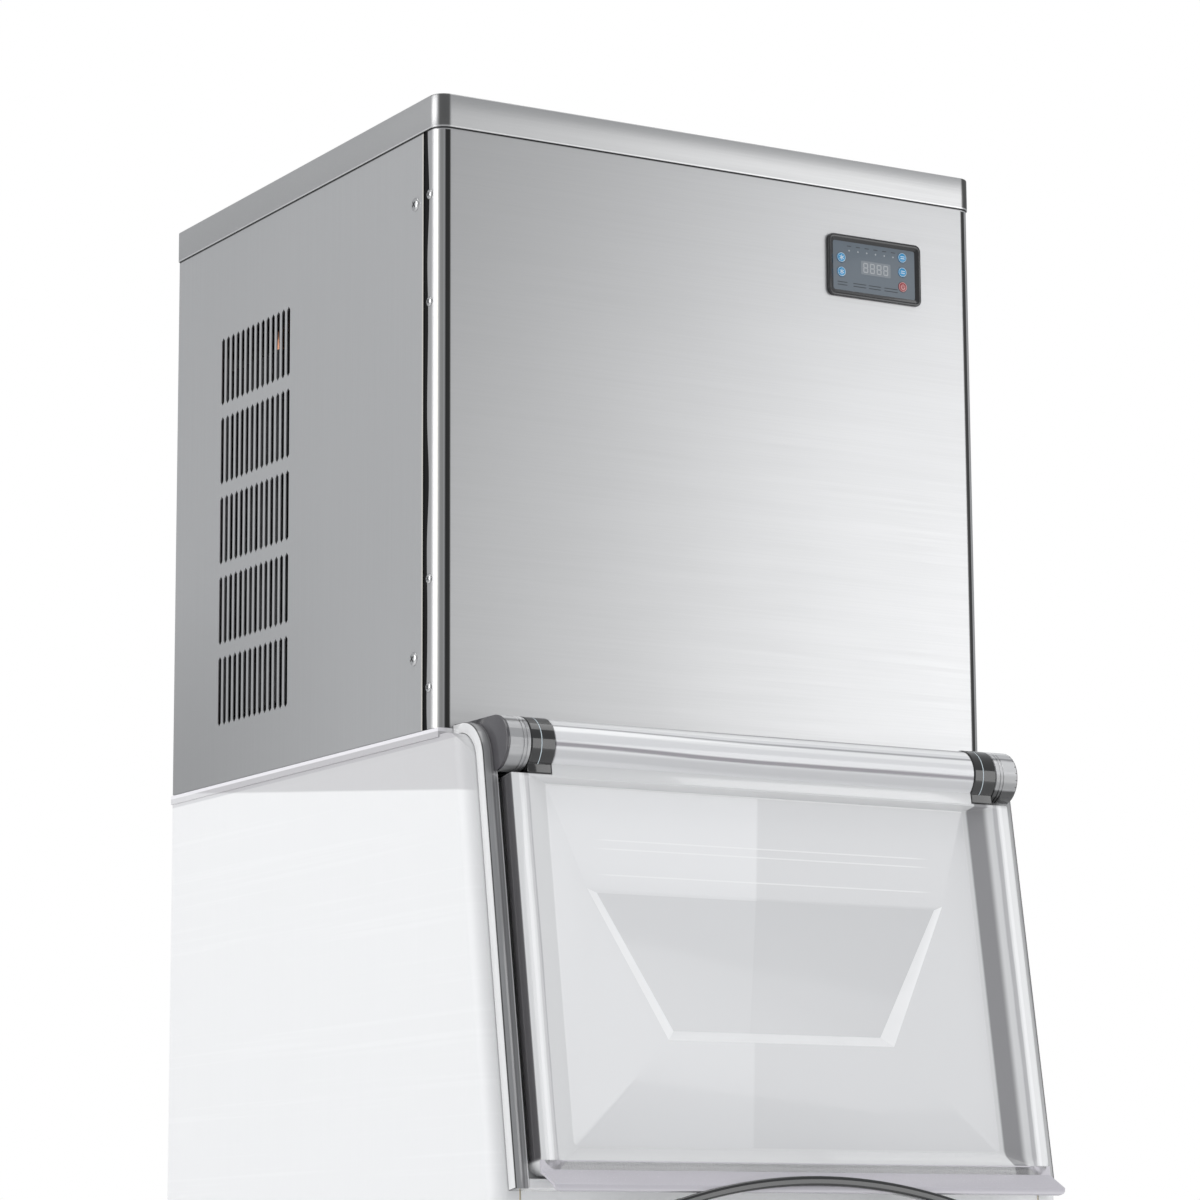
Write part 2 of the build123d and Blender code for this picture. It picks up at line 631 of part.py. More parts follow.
def condenser_end_plates():
    plates = [box(COIL_LEFT - 6, COIL_RIGHT + 8, y, y + 2, PAN_TOP, COIL_TOP + 12)
              for y in (COIL_FRONT - 2, COIL_BACK)]
    return group(plates)


def condenser_bends():
    """Return bends of the condenser tube outside the end plates."""
    front = COIL_FRONT - 2
    pitch = (COIL_TOP - COIL_BOTTOM - 50) / BEND_COUNT
    bends = []
    for n in range(BEND_COUNT):
        low = COIL_BOTTOM + 50 + n * pitch
        high = low + pitch / 2 - 1
        bends.append(pipe([(COIL_MIDDLE, front, low), (COIL_MIDDLE, front - 18, low),
                           (COIL_MIDDLE, front - 18, high), (COIL_MIDDLE, front, high)], 4.5, 8))
    return bends


def fan_shroud():
    """Sheet with the fan ring and the strap that carries the motor."""
    x0, x1 = COIL_RIGHT + 8, COIL_RIGHT + 10
    plate = box(x0, x1, COIL_FRONT - 2, COIL_BACK + 2, COIL_BOTTOM - 5, COIL_TOP + 12)
    ring = bar_x(FAN_RADIUS + 8, x0, x0 + 16, FAN_Y, FAN_Z, ROUND_SIDES)
    bore = bar_x(FAN_RADIUS + 6, x0 - 1, x0 + 17, FAN_Y, FAN_Z, ROUND_SIDES)
    return plate + ring - bore + motor_strap(x1)


def fan():
    """Twisted blades on a hub with its shaft."""
    hub = bar_x(FAN_HUB, FAN_X - 3, FAN_X + 17, FAN_Y, FAN_Z, ROUND_SIDES)
    shaft = bar_x(FAN_SHAFT, FAN_X + 17, MOTOR_START + 9, FAN_Y, FAN_Z)
    wheel = hub + shaft
    for n in range(FAN_BLADES):
        blade = Pos(0, 0, (FAN_HUB + FAN_RADIUS) / 2 - 1) * Rot(Z=38) * Box(2, 34, FAN_RADIUS - FAN_HUB + 2)
        wheel += Pos(FAN_X + 7, FAN_Y, FAN_Z) * Rot(X=360 / FAN_BLADES * n) * blade
    return wheel


def motor_strap(x0):
    y0, y1 = FAN_Y - 15, FAN_Y + 15
    low, high = FAN_Z - STRAP_REACH, FAN_Z + STRAP_REACH
    strap = box(MOTOR_START - 3, MOTOR_START, y0, y1, low, high)
    arms = [box(x0, MOTOR_START - 3, y0, y1, low, low + 3),
            box(x0, MOTOR_START - 3, y0, y1, high - 3, high)]
    return strap + arms - bar_x(8, MOTOR_START - 4, MOTOR_START + 1, FAN_Y, FAN_Z, SCREW_SIDES)


def fan_motor():
    can = bar_x(30, MOTOR_START, MOTOR_START + 52, FAN_Y, FAN_Z, ROUND_SIDES)
    return can - bar_x(FAN_SHAFT + RUN_FIT, MOTOR_START - 1, MOTOR_START + 12, FAN_Y, FAN_Z)


def compressor():
    """Sealed compressor with its welded foot plate and terminal cover."""
    can = bar_z(COMPRESSOR_RADIUS, COMPRESSOR_X, COMPRESSOR_Y, COMPRESSOR_BASE + 3, COMPRESSOR_TOP,
                ROUND_SIDES)
    can = chamfer(can.edges().group_by(Axis.Z)[-1], 26)
    foot = box(COMPRESSOR_X - 95, COMPRESSOR_X + 95, COMPRESSOR_Y - 70, COMPRESSOR_Y + 70,
               COMPRESSOR_BASE, COMPRESSOR_BASE + 3)
    x = COMPRESSOR_X + COMPRESSOR_RADIUS
    cover = box(x - 20, x + 24, COMPRESSOR_Y - 28, COMPRESSOR_Y + 28,
                COMPRESSOR_BASE + 54, COMPRESSOR_BASE + 134)
    return can + foot + cover


def compressor_mounts():
    mounts = []
    for x in (COMPRESSOR_X - 80, COMPRESSOR_X + 80):
        for y in (COMPRESSOR_Y - 56, COMPRESSOR_Y + 56):
            mounts.append(box(x - 10, x + 10, y - 10, y + 10, PAN_TOP, COMPRESSOR_BASE))
    return group(mounts)


def discharge_pipe():
    """From the top of the compressor to the upper end of the condenser."""
    x, y = COMPRESSOR_X - 35, COMPRESSOR_Y
    high = COIL_TOP + 40
    points = [(x, y, COMPRESSOR_TOP), (x, y, high), (COIL_MIDDLE, y, high), (COIL_MIDDLE, y, COIL_TOP)]
    return pipe(points, 4.5, 18)


def liquid_line():
    """From the lower end of the condenser through the drier to the evaporator."""
    y = PARTITION_Y + PAN_SHEET + 14
    low, high = COIL_BOTTOM + 15, DRIER_TOP + 60
    inlet = [(COIL_MIDDLE, COIL_FRONT - 2, low), (COIL_MIDDLE, y, low), (DRIER_X, y, low),
             (DRIER_X, y, DRIER_BOTTOM)]
    outlet = [(DRIER_X, y, DRIER_TOP), (DRIER_X, y, high), (FEED_X, y, high), (FEED_X, y, FEED_Z),
              (FEED_X, PLATE_BACK + TUBE_SET, FEED_Z), (FEED_JOINT, PLATE_BACK + TUBE_SET, FEED_Z)]
    drier = bar_z(14, DRIER_X, y, DRIER_BOTTOM, DRIER_TOP, SCREW_SIDES)
    return drier + pipe(inlet, 3.5, 10) + pipe(outlet, 3.5, 10)


def suction_pipe():
    """From the evaporator through the partition back to the compressor."""
    y = PLATE_BACK + TUBE_SET
    x = COMPRESSOR_X + 35
    points = [(SUCTION_JOINT, y, TUBE_LOW), (SUCTION_X, y, TUBE_LOW), (SUCTION_X, y, SUCTION_Z),
              (SUCTION_X, COMPRESSOR_Y, SUCTION_Z), (x, COMPRESSOR_Y, SUCTION_Z),
              (x, COMPRESSOR_Y, COMPRESSOR_TOP)]
    return pipe(points, 4.5, 9)


def inlet_valve():
    """Water valve on the back panel with its threaded stub."""
    x, z = VALVE_X, VALVE_Z
    body = box(x - 18, x + 18, SKIN_BACK - 41, SKIN_BACK - PANEL_SHEET, z - 18, z + 18)
    coil = box(x - 13, x + 13, SKIN_BACK - 37, SKIN_BACK - 11, z + 18, z + 48)
    collar = bar_y(VALVE_RADIUS, x, SKIN_BACK - PANEL_SHEET, HEAD_BACK, z)
    neck = bar_y(VALVE_RADIUS - NECK_DEPTH, x, HEAD_BACK, HEAD_BACK + NECK, z)
    stub = bar_y(VALVE_RADIUS, x, HEAD_BACK + NECK, HEAD_BACK + SPACER_DEPTH, z)
    bore = bar_y(VALVE_RADIUS - 4, x, HEAD_BACK - 10, HEAD_BACK + SPACER_DEPTH + 1, z, SCREW_SIDES)
    return body + coil + collar + neck + stub - bore


def power_gland():
    """Inlet gland for the mains lead in the back panel."""
    stem = bar_y(GLAND_RADIUS, VALVE_X, SKIN_BACK - PANEL_SHEET - 8, SKIN_BACK, GLAND_Z, SCREW_SIDES)
    nut = bar_y(GLAND_RADIUS + 3, VALVE_X, SKIN_BACK, HEAD_BACK + 8, GLAND_Z, SCREW_SIDES)
    return stem + nut


def electric_box():
    y0 = PARTITION_Y + PAN_SHEET
    return box(VALVE_X - 160, VALVE_X + 5, y0, y0 + 60, TOTAL_HEIGHT - 190, TOTAL_HEIGHT - 40)


# Bin

def turn(out, top, radius):
    """Arc that turns the leaned front back into a level top: centre Y, middle and lower end."""
    a = math.radians(LEAN)
    z = top - radius
    y = HINGE_Y + (radius - out + (z - HINGE_Z) * math.sin(a)) / math.cos(a)
    end = (y - radius * math.cos(a), z + radius * math.sin(a))
    half = (math.pi / 2 - a) / 2
    middle = (y - radius * math.sin(half), z + radius * math.cos(half))
    return y, middle, end


def body_profile(inset, top):
    """Side outline of the bin, moved inward by the inset."""
    lower = lean_point(SEAT - inset, SILL_END)
    bottom = BIN_BOTTOM + PAN_SHEET + max(inset - 1, 0)
    upper_y = lower[0] + (top - lower[1]) * math.tan(math.radians(LEAN))
    return [(BIN_BACK - inset, top), (BIN_BACK - inset, bottom), (lower[0], bottom), lower,
            (upper_y, top)]


def edge_cutter(inset):
    """What lies above the turned upper edge, left and right of the beam."""
    y, middle, end = turn(SEAT - inset, EDGE_TOP - inset, EDGE_TURN - inset)
    start = (y, EDGE_TOP - inset)
    back, high = EDGE_BACK + inset, BIN_TOP + 20
    face = Plane.YZ * make_face([
        Polyline(end, (end[0] - 40, end[1]), (end[0] - 40, high), (back, high),
                 (back, EDGE_TOP - inset), start),
        ThreePointArc(start, middle, end)])
    side = Pos(RAIL_IN - inset, 0, 0) * extrude(face, HALF - RAIL_IN + inset)
    return both_sides(side)


def body_block(inset, top):
    """Bin outline as a block with rounded upright front corners and turned upper edges."""
    half = SKIN_X - inset
    profile = body_profile(inset, top)
    block = prism(profile, -half, half)
    chosen = []
    for edge in block.edges():
        middle = edge.center()
        along_x = abs((edge @ 1 - edge @ 0).X) > 1
        front = middle.Y < (profile[2][0] + profile[4][0]) / 2 + 1 and middle.Z > BIN_BOTTOM + 50
        if front and not along_x:
            chosen.append(edge)
    block = fillet(chosen, CORNER_RADIUS - inset)
    beam = box(-EAR_OUT - inset, EAR_OUT + inset, -400, BEAM_BACK + inset, BEAM_BOTTOM - inset,
               BIN_TOP + 20)
    return block - edge_cutter(inset) - beam


def mouth(out0, out1, extra):
    """Door opening through the leaned front between two depths."""
    return lean(slab(-MOUTH_HALF - extra, MOUTH_HALF + extra, out0, out1,
                     MOUTH_START - extra, MOUTH_END + extra))


def bin_skin():
    return body_block(0, BIN_TOP - COVER_SHEET) - body_block(PANEL_SHEET, BIN_TOP)


def bin_side_left():
    side = bin_skin() & box(-HALF, -FRONT_JOINT - JOINT_GAP, -400, 400, 0, TOTAL_HEIGHT)
    back = box(-HALF, -INNER_X, BIN_BACK - PANEL_SHEET, BIN_BACK + 1, 0, BIN_TOP)
    extra = box(-INNER_X, -FRONT_JOINT + 20, BIN_BACK - PANEL_SHEET, BIN_BACK + 1, 0, BIN_TOP)
    return side - extra + (bin_skin() & back)


def bin_side_right():
    return mirror(bin_side_left(), about=Plane.YZ)


def bin_front_panel():
    """Folded front: leaned part round the door opening and the upright lower part."""
    front = bin_skin() & box(-FRONT_JOINT, FRONT_JOINT, -400, 200, 0, BIN_TOP)
    return front - mouth(SEAT - 30, SEAT + 10, 0)


def bin_back_panel():
    return box(-INNER_X, INNER_X, BIN_BACK - PANEL_SHEET, BIN_BACK, BIN_BOTTOM + PAN_SHEET,
               BIN_TOP - COVER_SHEET)


def bin_deck():
    plate = box(-HALF, HALF, BEAM_BACK, HEAD_BACK, BIN_TOP - COVER_SHEET, BIN_TOP)
    skirt = box(-HALF, HALF, BEAM_BACK, HEAD_BACK, BIN_TOP - DECK_SKIRT, BIN_TOP)
    inner = box(-SKIN_X, SKIN_X, BEAM_BACK - 1, SKIN_BACK, BIN_TOP - DECK_SKIRT - 1,
                BIN_TOP - COVER_SHEET)
    drop = box(-DROP_HALF, DROP_HALF, DROP_FRONT, DROP_BACK, BIN_TOP - 5, BIN_TOP + 1)
    corner = box(RAIL_IN, HALF, BEAM_BACK - 1, EDGE_BACK, BIN_TOP - DECK_SKIRT - 1, BIN_TOP + 1)
    return plate + skirt - inner - drop - both_sides(corner)


def bin_bottom_pan():
    lower_y = lean_point(SEAT, SILL_END)[0]
    pan = round_front(SKIN_X, lower_y, BIN_BACK, BIN_BOTTOM, BIN_BOTTOM + PAN_SHEET, CORNER_RADIUS)
    return pan - bar_z(DRAIN_RADIUS, 0, DRAIN_Y, BIN_BOTTOM - 1, BIN_BOTTOM + 5)


def liner_profile(inset):
    """Side outline of the store room; the inset makes it smaller on every side."""
    depth = BIN_FOAM + inset
    lower = lean_point(SEAT - depth, SILL_END)
    top = BEAM_BOTTOM - 14 - inset
    upper_y = lower[0] + (top - lower[1]) * math.tan(math.radians(LEAN))
    return [(BIN_BACK - depth, top), (BIN_BACK - depth, BIN_BOTTOM + depth),
            (lower[0], BIN_BOTTOM + depth), lower, (upper_y, top)]


def drop_throat(extra, z0, z1):
    return box(-DROP_HALF - extra, DROP_HALF + extra, DROP_FRONT - extra, DROP_BACK + extra, z0, z1)


def liner_outer():
    half = SKIN_X - BIN_FOAM
    throat = mouth(SEAT - BIN_FOAM - 20, SEAT - PANEL_SHEET, LINER_WALL)
    chute = drop_throat(LINER_WALL, BEAM_BOTTOM - 40, BIN_TOP - COVER_SHEET)
    return prism(liner_profile(0), -half, half) + throat + chute


def around(sheet, x_half, low, high):
    """The four parts of a sheet that lie round a window between a low and a high block."""
    middle = box(-x_half, x_half, -500, 500, 0, TOTAL_HEIGHT)
    left = box(-HALF, -x_half, -500, 500, 0, TOTAL_HEIGHT)
    return both_sides(sheet & left) + [sheet & middle & low, sheet & middle & high]


def bin_liner():
    """Store liner of flat sheets joined at their edges, with door throat and ice chute."""
    wall, half = LINER_WALL, SKIN_X - BIN_FOAM - LINER_WALL
    outer, inner = liner_profile(0), liner_profile(wall)
    quads = [[outer[i], outer[i - 4], inner[i - 4], inner[i]] for i in range(5)]
    back, floor, front, slope, ceiling = [prism(quad, -half, half) for quad in quads]
    sheets = both_sides(prism(outer, half, half + wall)) + [back, front]
    sheets.append(floor - bar_z(DRAIN_RADIUS, 0, DRAIN_Y, BIN_BOTTOM, BIN_BOTTOM + 60))
    above = lean(slab(-HALF, HALF, -100, 0, -100, MOUTH_START - wall))
    below = lean(slab(-HALF, HALF, -100, 0, MOUTH_END + wall, 600))
    sheets += around(slope, MOUTH_HALF + wall, above, below)
    before = box(-HALF, HALF, -500, DROP_FRONT - wall, 0, TOTAL_HEIGHT)
    behind = box(-HALF, HALF, DROP_BACK + wall, 500, 0, TOTAL_HEIGHT)
    sheets += around(ceiling, DROP_HALF + wall, before, behind)
    out0, out1 = SEAT - BIN_FOAM - wall, SEAT - PANEL_SHEET
    sheets += both_sides(lean(slab(MOUTH_HALF, MOUTH_HALF + wall, out0, out1, MOUTH_START - wall,
                                   MOUTH_END + wall)))
    for down in (MOUTH_START - wall, MOUTH_END):
        sheets.append(lean(slab(-MOUTH_HALF, MOUTH_HALF, out0, out1, down, down + wall)))
    z0, z1 = outer[0][1] - wall, BIN_TOP - COVER_SHEET
    sheets += both_sides(box(DROP_HALF, DROP_HALF + wall, DROP_FRONT - wall, DROP_BACK + wall, z0, z1))
    for y in (DROP_FRONT - wall, DROP_BACK):
        sheets.append(box(-DROP_HALF, DROP_HALF, y, y + wall, z0, z1))
    return group(sheets)


def bin_foam():
    drain = bar_z(DRAIN_RADIUS, 0, DRAIN_Y, BIN_BOTTOM, BIN_BOTTOM + 60)
    return body_block(PANEL_SHEET, BIN_TOP - COVER_SHEET) - liner_outer() - drain


def drain_spout():
    """Drain pipe through floor and insulation; the groove marks off the free end for a hose."""
    start = BIN_BOTTOM - 2
    spout = bar_z(DRAIN_RADIUS, 0, DRAIN_Y, start, BIN_BOTTOM + BIN_FOAM + LINER_WALL)
    spout += bar_z(DRAIN_RADIUS - NECK_DEPTH, 0, DRAIN_Y, start - NECK, start)
    spout += bar_z(DRAIN_RADIUS, 0, DRAIN_Y, BIN_BOTTOM - 26, start - NECK)
    return spout - bar_z(DRAIN_RADIUS - 3, 0, DRAIN_Y, BIN_BOTTOM - 30, BIN_BOTTOM + 60, SCREW_SIDES)


def rail_profile():
    """Side outline of a rail: leaned part, turn, and tail over the top of the bin."""
    y0, middle0, end0 = turn(SEAT, EDGE_TOP, EDGE_TURN)
    y1, middle1, end1 = turn(RAIL_FRONT, STRIP_TOP, STRIP_TURN)
    return Plane.YZ * make_face([
        Polyline(end1, lean_point(RAIL_FRONT, SILL_END), lean_point(SEAT, SILL_END), end0),
        ThreePointArc(end0, middle0, (y0, EDGE_TOP)),
        Polyline((y0, EDGE_TOP), (EDGE_BACK, EDGE_TOP), (EDGE_BACK, STRIP_TOP), (y1, STRIP_TOP)),
        ThreePointArc((y1, STRIP_TOP), middle1, end1)])


def front_frame():
    """Moulded frame: two turned rails, sill, top beam and the two hinge ears."""
    rail = Pos(RAIL_IN, 0, 0) * extrude(rail_profile(), RAIL_OUT - RAIL_IN)
    sill = lean(slab(-RAIL_IN, RAIL_IN, SEAT, RAIL_FRONT, SILL_START, SILL_END))
    frame = box(-EAR_OUT, EAR_OUT, BEAM_FRONT, BEAM_BACK, BEAM_BOTTOM, BIN_TOP) + both_sides(rail) + sill
    arm = prism([(HINGE_Y, HINGE_Z + BARREL), (HEAD_FRONT - 4, BIN_TOP + 5), (HEAD_FRONT - 4, BIN_TOP),
                 (BEAM_BACK, BIN_TOP), (BEAM_BACK, BEAM_BOTTOM), (BEAM_FRONT, BEAM_BOTTOM),
                 (HINGE_Y, HINGE_Z - BARREL)], EAR_IN, EAR_OUT)
    frame += both_sides(arm) + both_sides(bar_x(BARREL, EAR_IN, EAR_OUT, HINGE_Y, HINGE_Z))
    return frame - bar_x(ROD, -EAR_OUT + 3, EAR_OUT - 3, HINGE_Y, HINGE_Z)


def mouth_gasket():
    """Seal between the leaned front and the back of the door rim."""
    outer = slab(-MOUTH_HALF - 24, MOUTH_HALF + 24, SEAT, DOOR_BACK - BODY_GAP,
                 MOUTH_START - 11, MOUTH_END + 24)
    inner = slab(-MOUTH_HALF - 8, MOUTH_HALF + 8, SEAT - 1, DOOR_BACK + 1,
                 MOUTH_START - 2, MOUTH_END + 8)
    return lean(outer - inner)


def hinge_rod():
    return bar_x(ROD, -EAR_OUT + 3, EAR_OUT - 3, HINGE_Y, HINGE_Z)


def hinge_tube():
    tube = bar_x(TUBE_RADIUS, -BLOCK_IN, BLOCK_IN, 0, 0)
    return lean(tube - bar_x(TUBE_BORE, -BLOCK_IN - 1, BLOCK_IN + 1, 0, 0))


def end_blocks():
    """Black blocks that join tube and door and turn on the hinge rod."""
    x0, x1 = BLOCK_IN, EAR_IN - BODY_GAP
    block = bar_x(BARREL, x0, x1, 0, 0)
    block += slab(x0, x1, DOOR_BACK, DOOR_FRONT, 8, DOOR_START)
    block -= bar_x(ROD + RUN_FIT, x0 - 1, x1 + 1, 0, 0)
    return group([lean(b) for b in both_sides(block)])


def pan_shape(half, start, end, out_front, out_back, grow):
    """Tapered block of the recessed panel: wide at the rim, narrow at the panel."""
    taper = DOOR_HALF - RIM - PANEL_HALF
    wide = Plane.XZ.offset(out_front) * make_face(Polyline(
        (-half - taper - grow, -start + grow), (half + taper + grow, -start + grow),
        (half + taper + grow, -end - 18 - grow), (-half - taper - grow, -end - 18 - grow), close=True))
    narrow = Plane.XZ.offset(out_back) * make_face(Polyline(
        (-half - grow, -start - 2 + grow), (half + grow, -start - 2 + grow),
        (half + grow, -end - grow), (-half - grow, -end - grow), close=True))
    return loft([wide, narrow], ruled=True)


def recess_shape(grow, depth):
    """Wedge pocket with a tapering bright border, deepest at its lower edge."""
    top, low = PANEL_START + 87, PANEL_END - 89 + grow
    upper, lower = PANEL_HALF - 32 + grow, PANEL_HALF - 98 + grow
    wide = Plane.XZ.offset(PANEL_FRONT + 0.02) * make_face(Polyline(
        (-upper, -top), (upper, -top), (lower, -low), (-lower, -low), close=True))
    narrow = make_face(Polyline(
        (2 - upper, -top), (upper - 2, -top), (lower - 12, 13 - low), (12 - lower, 13 - low), close=True))
    tilt = math.degrees(math.atan2(depth, low - top))
    place = Pos(0, -PANEL_FRONT + 0.4 + grow / 2, -top) * Rot(X=tilt) * Pos(0, 0, top)
    return loft([wide, place * (Plane.XZ * narrow)], ruled=True)


def handle_outline(grow):
    """Lens outline of the grip, larger by grow on every side."""
    end = 9 + grow
    middle = (HANDLE_TOP + HANDLE_BOTTOM) / 2
    top, bottom = HANDLE_TOP - grow, HANDLE_BOTTOM + grow
    return make_face([
        ThreePointArc((-HANDLE_HALF, -middle + end), (0, -top), (HANDLE_HALF, -middle + end)),
        ThreePointArc((HANDLE_HALF, -middle + end), (HANDLE_HALF + end, -middle),
                      (HANDLE_HALF, -middle - end)),
        ThreePointArc((HANDLE_HALF, -middle - end), (0, -bottom), (-HANDLE_HALF, -middle - end)),
        ThreePointArc((-HANDLE_HALF, -middle - end), (-HANDLE_HALF - end, -middle),
                      (-HANDLE_HALF, -middle + end))])


def handle_block(grow, out0, out1):
    """Handle outline drawn out of the door face between two distances."""
    face = Plane.XZ.offset(out0) * handle_outline(grow)
    return extrude(face, out1 - out0)


def door_flange():
    """Back flange of the door rim, which meets the seal."""
    outer = slab(-DOOR_HALF, DOOR_HALF, DOOR_BACK, DOOR_BACK + DOOR_WALL, DOOR_START, DOOR_END)
    inner = slab(-DOOR_HALF + FLANGE, DOOR_HALF - FLANGE, DOOR_BACK - 1, DOOR_BACK + DOOR_WALL + 1,
                 DOOR_START + FLANGE - 4, DOOR_END - FLANGE - 12)
    return outer - inner


def tube_webs():
    """Front and back walls that join the door rim to the hinge tube."""
    start, end = 12.0, DOOR_START + 1
    return [slab(-BLOCK_IN, BLOCK_IN, DOOR_FRONT - DOOR_WALL, DOOR_FRONT, start, end),
            slab(-BLOCK_IN, BLOCK_IN, DOOR_BACK, DOOR_BACK + DOOR_WALL, start, end)]


def door_panel():
    """Clear moulded door: rims, recessed panel with wedge pocket, flared lip."""
    shell = slab(-DOOR_HALF, DOOR_HALF, DOOR_BACK, DOOR_FRONT, DOOR_START, DOOR_END)
    shell -= slab(-DOOR_HALF + DOOR_WALL, DOOR_HALF - DOOR_WALL, DOOR_BACK - 1,
                  DOOR_FRONT - DOOR_WALL, DOOR_START + DOOR_WALL, DOOR_END - DOOR_WALL)
    shell += door_flange() + tube_webs()
    shell += pan_shape(PANEL_HALF, PANEL_START, PANEL_END, DOOR_FRONT, PANEL_FRONT - DOOR_WALL, 2)
    shell -= pan_shape(PANEL_HALF, PANEL_START, PANEL_END, DOOR_FRONT + 0.01, PANEL_FRONT, 0)
    shell += recess_shape(2.5, 8.5) - slab(-300, 300, PANEL_FRONT - 0.5, 20, 0, 400)
    shell -= recess_shape(0, 6.0)
    lip = door_prism([(DOOR_FRONT, DOOR_END - 14), (DOOR_FRONT, DOOR_END), (LIP_FRONT, LIP_START),
                      (LIP_FRONT, LIP_START + 6), (LIP_FRONT - DOOR_WALL, LIP_START + 6),
                      (LIP_FRONT - DOOR_WALL, LIP_START + 1.5),
                      (DOOR_FRONT - DOOR_WALL, DOOR_END + 1.5), (DOOR_FRONT - DOOR_WALL, DOOR_END - 14)],
                     -DOOR_HALF, DOOR_HALF)
    gusset = door_prism([(DOOR_BACK, DOOR_END - 14), (DOOR_FRONT, DOOR_END - 14), (DOOR_FRONT, DOOR_END),
                         (LIP_FRONT, LIP_START), (LIP_FRONT, LIP_START + 6), (14, LIP_START + 6),
                         (8, DOOR_END), (DOOR_BACK, DOOR_END)],
                        -DOOR_HALF, -DOOR_HALF + DOOR_WALL)
    tongue = handle_block(DOOR_WALL, LIP_FRONT - DOOR_WALL, LIP_FRONT)
    shell += lip + both_sides(gusset) + tongue
    shell -= handle_block(0, LIP_FRONT - 30, LIP_FRONT + 5)
    shell -= bar_x(TUBE_RADIUS, -BLOCK_IN, BLOCK_IN, 0, 0)
    return lean(shell)


def door_handle():
    """Black lens shaped grip ring set in the lip."""
    ring = handle_block(0, LIP_FRONT - DOOR_WALL - 3, LIP_FRONT + HANDLE_PROUD)
    return lean(ring - handle_block(-HANDLE_BAR, LIP_FRONT - 30, LIP_FRONT + 20))


# Legs

def leg(x, y):
    """Tapered leg."""
    low = Plane.XY.offset(LEG_END) * RegularPolygon(LEG_LOW_RADIUS, ROUND_SIDES)
    high = Plane.XY.offset(BIN_BOTTOM) * RegularPolygon(LEG_TOP_RADIUS, ROUND_SIDES)
    return Pos(x, y, 0) * loft([low, high], ruled=True)


def legs():
    return group([leg(x, y) for x in (-LEG_X, LEG_X) for y in (LEG_FRONT, LEG_BACK)])


def feet():
    """Foot discs with the hexagon stems that carry the legs."""
    stem = extrude(RegularPolygon(STEM, 6), LEG_END - FOOT_HEIGHT)
    return group([bar_z(FOOT_RADIUS, x, y, 0, FOOT_HEIGHT, ROUND_SIDES) + Pos(x, y, FOOT_HEIGHT) * stem
                  for x in (-LEG_X, LEG_X) for y in (LEG_FRONT, LEG_BACK)])


def parts():
    """Every node by name."""
    made = {
        "head_top_cover": top_cover(),
        "rear_spacers": rear_spacers(),
        "head_front_panel": front_panel(),
        "head_side_panel_left": side_panel_left(),
        "head_side_panel_right": side_panel_right(),
        "head_back_panel": back_panel(),
        "head_base_pan": base_pan(),
        "head_posts": head_posts(),
        "joint_gaskets": joint_gaskets(),
        "head_partition": partition(),
        "casing_screws": casing_screws(),
        "control_bezel": control_bezel(),
        "control_membrane": control_membrane(),
        "control_display": control_display(),
        "control_board": control_board(),
        "evaporator": evaporator(),
        "evaporator_frame": evaporator_frame(),
        "water_spray_tube": spray_tube(),
        "water_curtain": water_curtain(),
        "water_trough": water_trough(),
        "water_pump": water_pump(),
        "water_pump_hose": pump_hose(),
        "water_level_probe": level_probe(),
        "water_drain_hose": drain_hose(),
        "condenser_coil": condenser_coil(),
        "condenser_end_plates": condenser_end_plates(),
        "fan_shroud": fan_shroud(),
        "fan_wheel": fan(),
        "fan_motor": fan_motor(),
        "compressor": compressor(),
        "compressor_mounts": compressor_mounts(),
        "discharge_pipe": discharge_pipe(),
        "liquid_line": liquid_line(),
        "suction_pipe": suction_pipe(),
        "water_inlet_valve": inlet_valve(),
        "power_gland": power_gland(),
        "electric_box": electric_box(),
        "bin_side_left": bin_side_left(),
        "bin_side_right": bin_side_right(),
        "bin_front_panel": bin_front_panel(),
        "bin_back_panel": bin_back_panel(),
        "bin_deck": bin_deck(),
        "bin_bottom_pan": bin_bottom_pan(),
        "bin_liner": bin_liner(),
        "bin_insulation": bin_foam(),
        "bin_drain_spout": drain_spout(),
        "bin_front_frame": front_frame(),
        "bin_legs": legs(),
        "leg_feet": feet(),
        "door_gasket": mouth_gasket(),
        "door_hinge_rod": hinge_rod(),
        "door_hinge_tube": hinge_tube(),
        "door_end_blocks": end_blocks(),
        "door_panel": door_panel(),
        "door_handle": door_handle(),
    }
    for name, (x, z) in KEY_PLACES.items():
        made[name] = key(x, z)
    return made


os.makedirs("parts", exist_ok=True)
for name, shape in parts().items():
    export_step(shape, f"parts/{name}.step")
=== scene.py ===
import math

import bmesh
import bpy
from bpy.props import FloatProperty, IntProperty, PointerProperty
from mathutils import Matrix, Vector


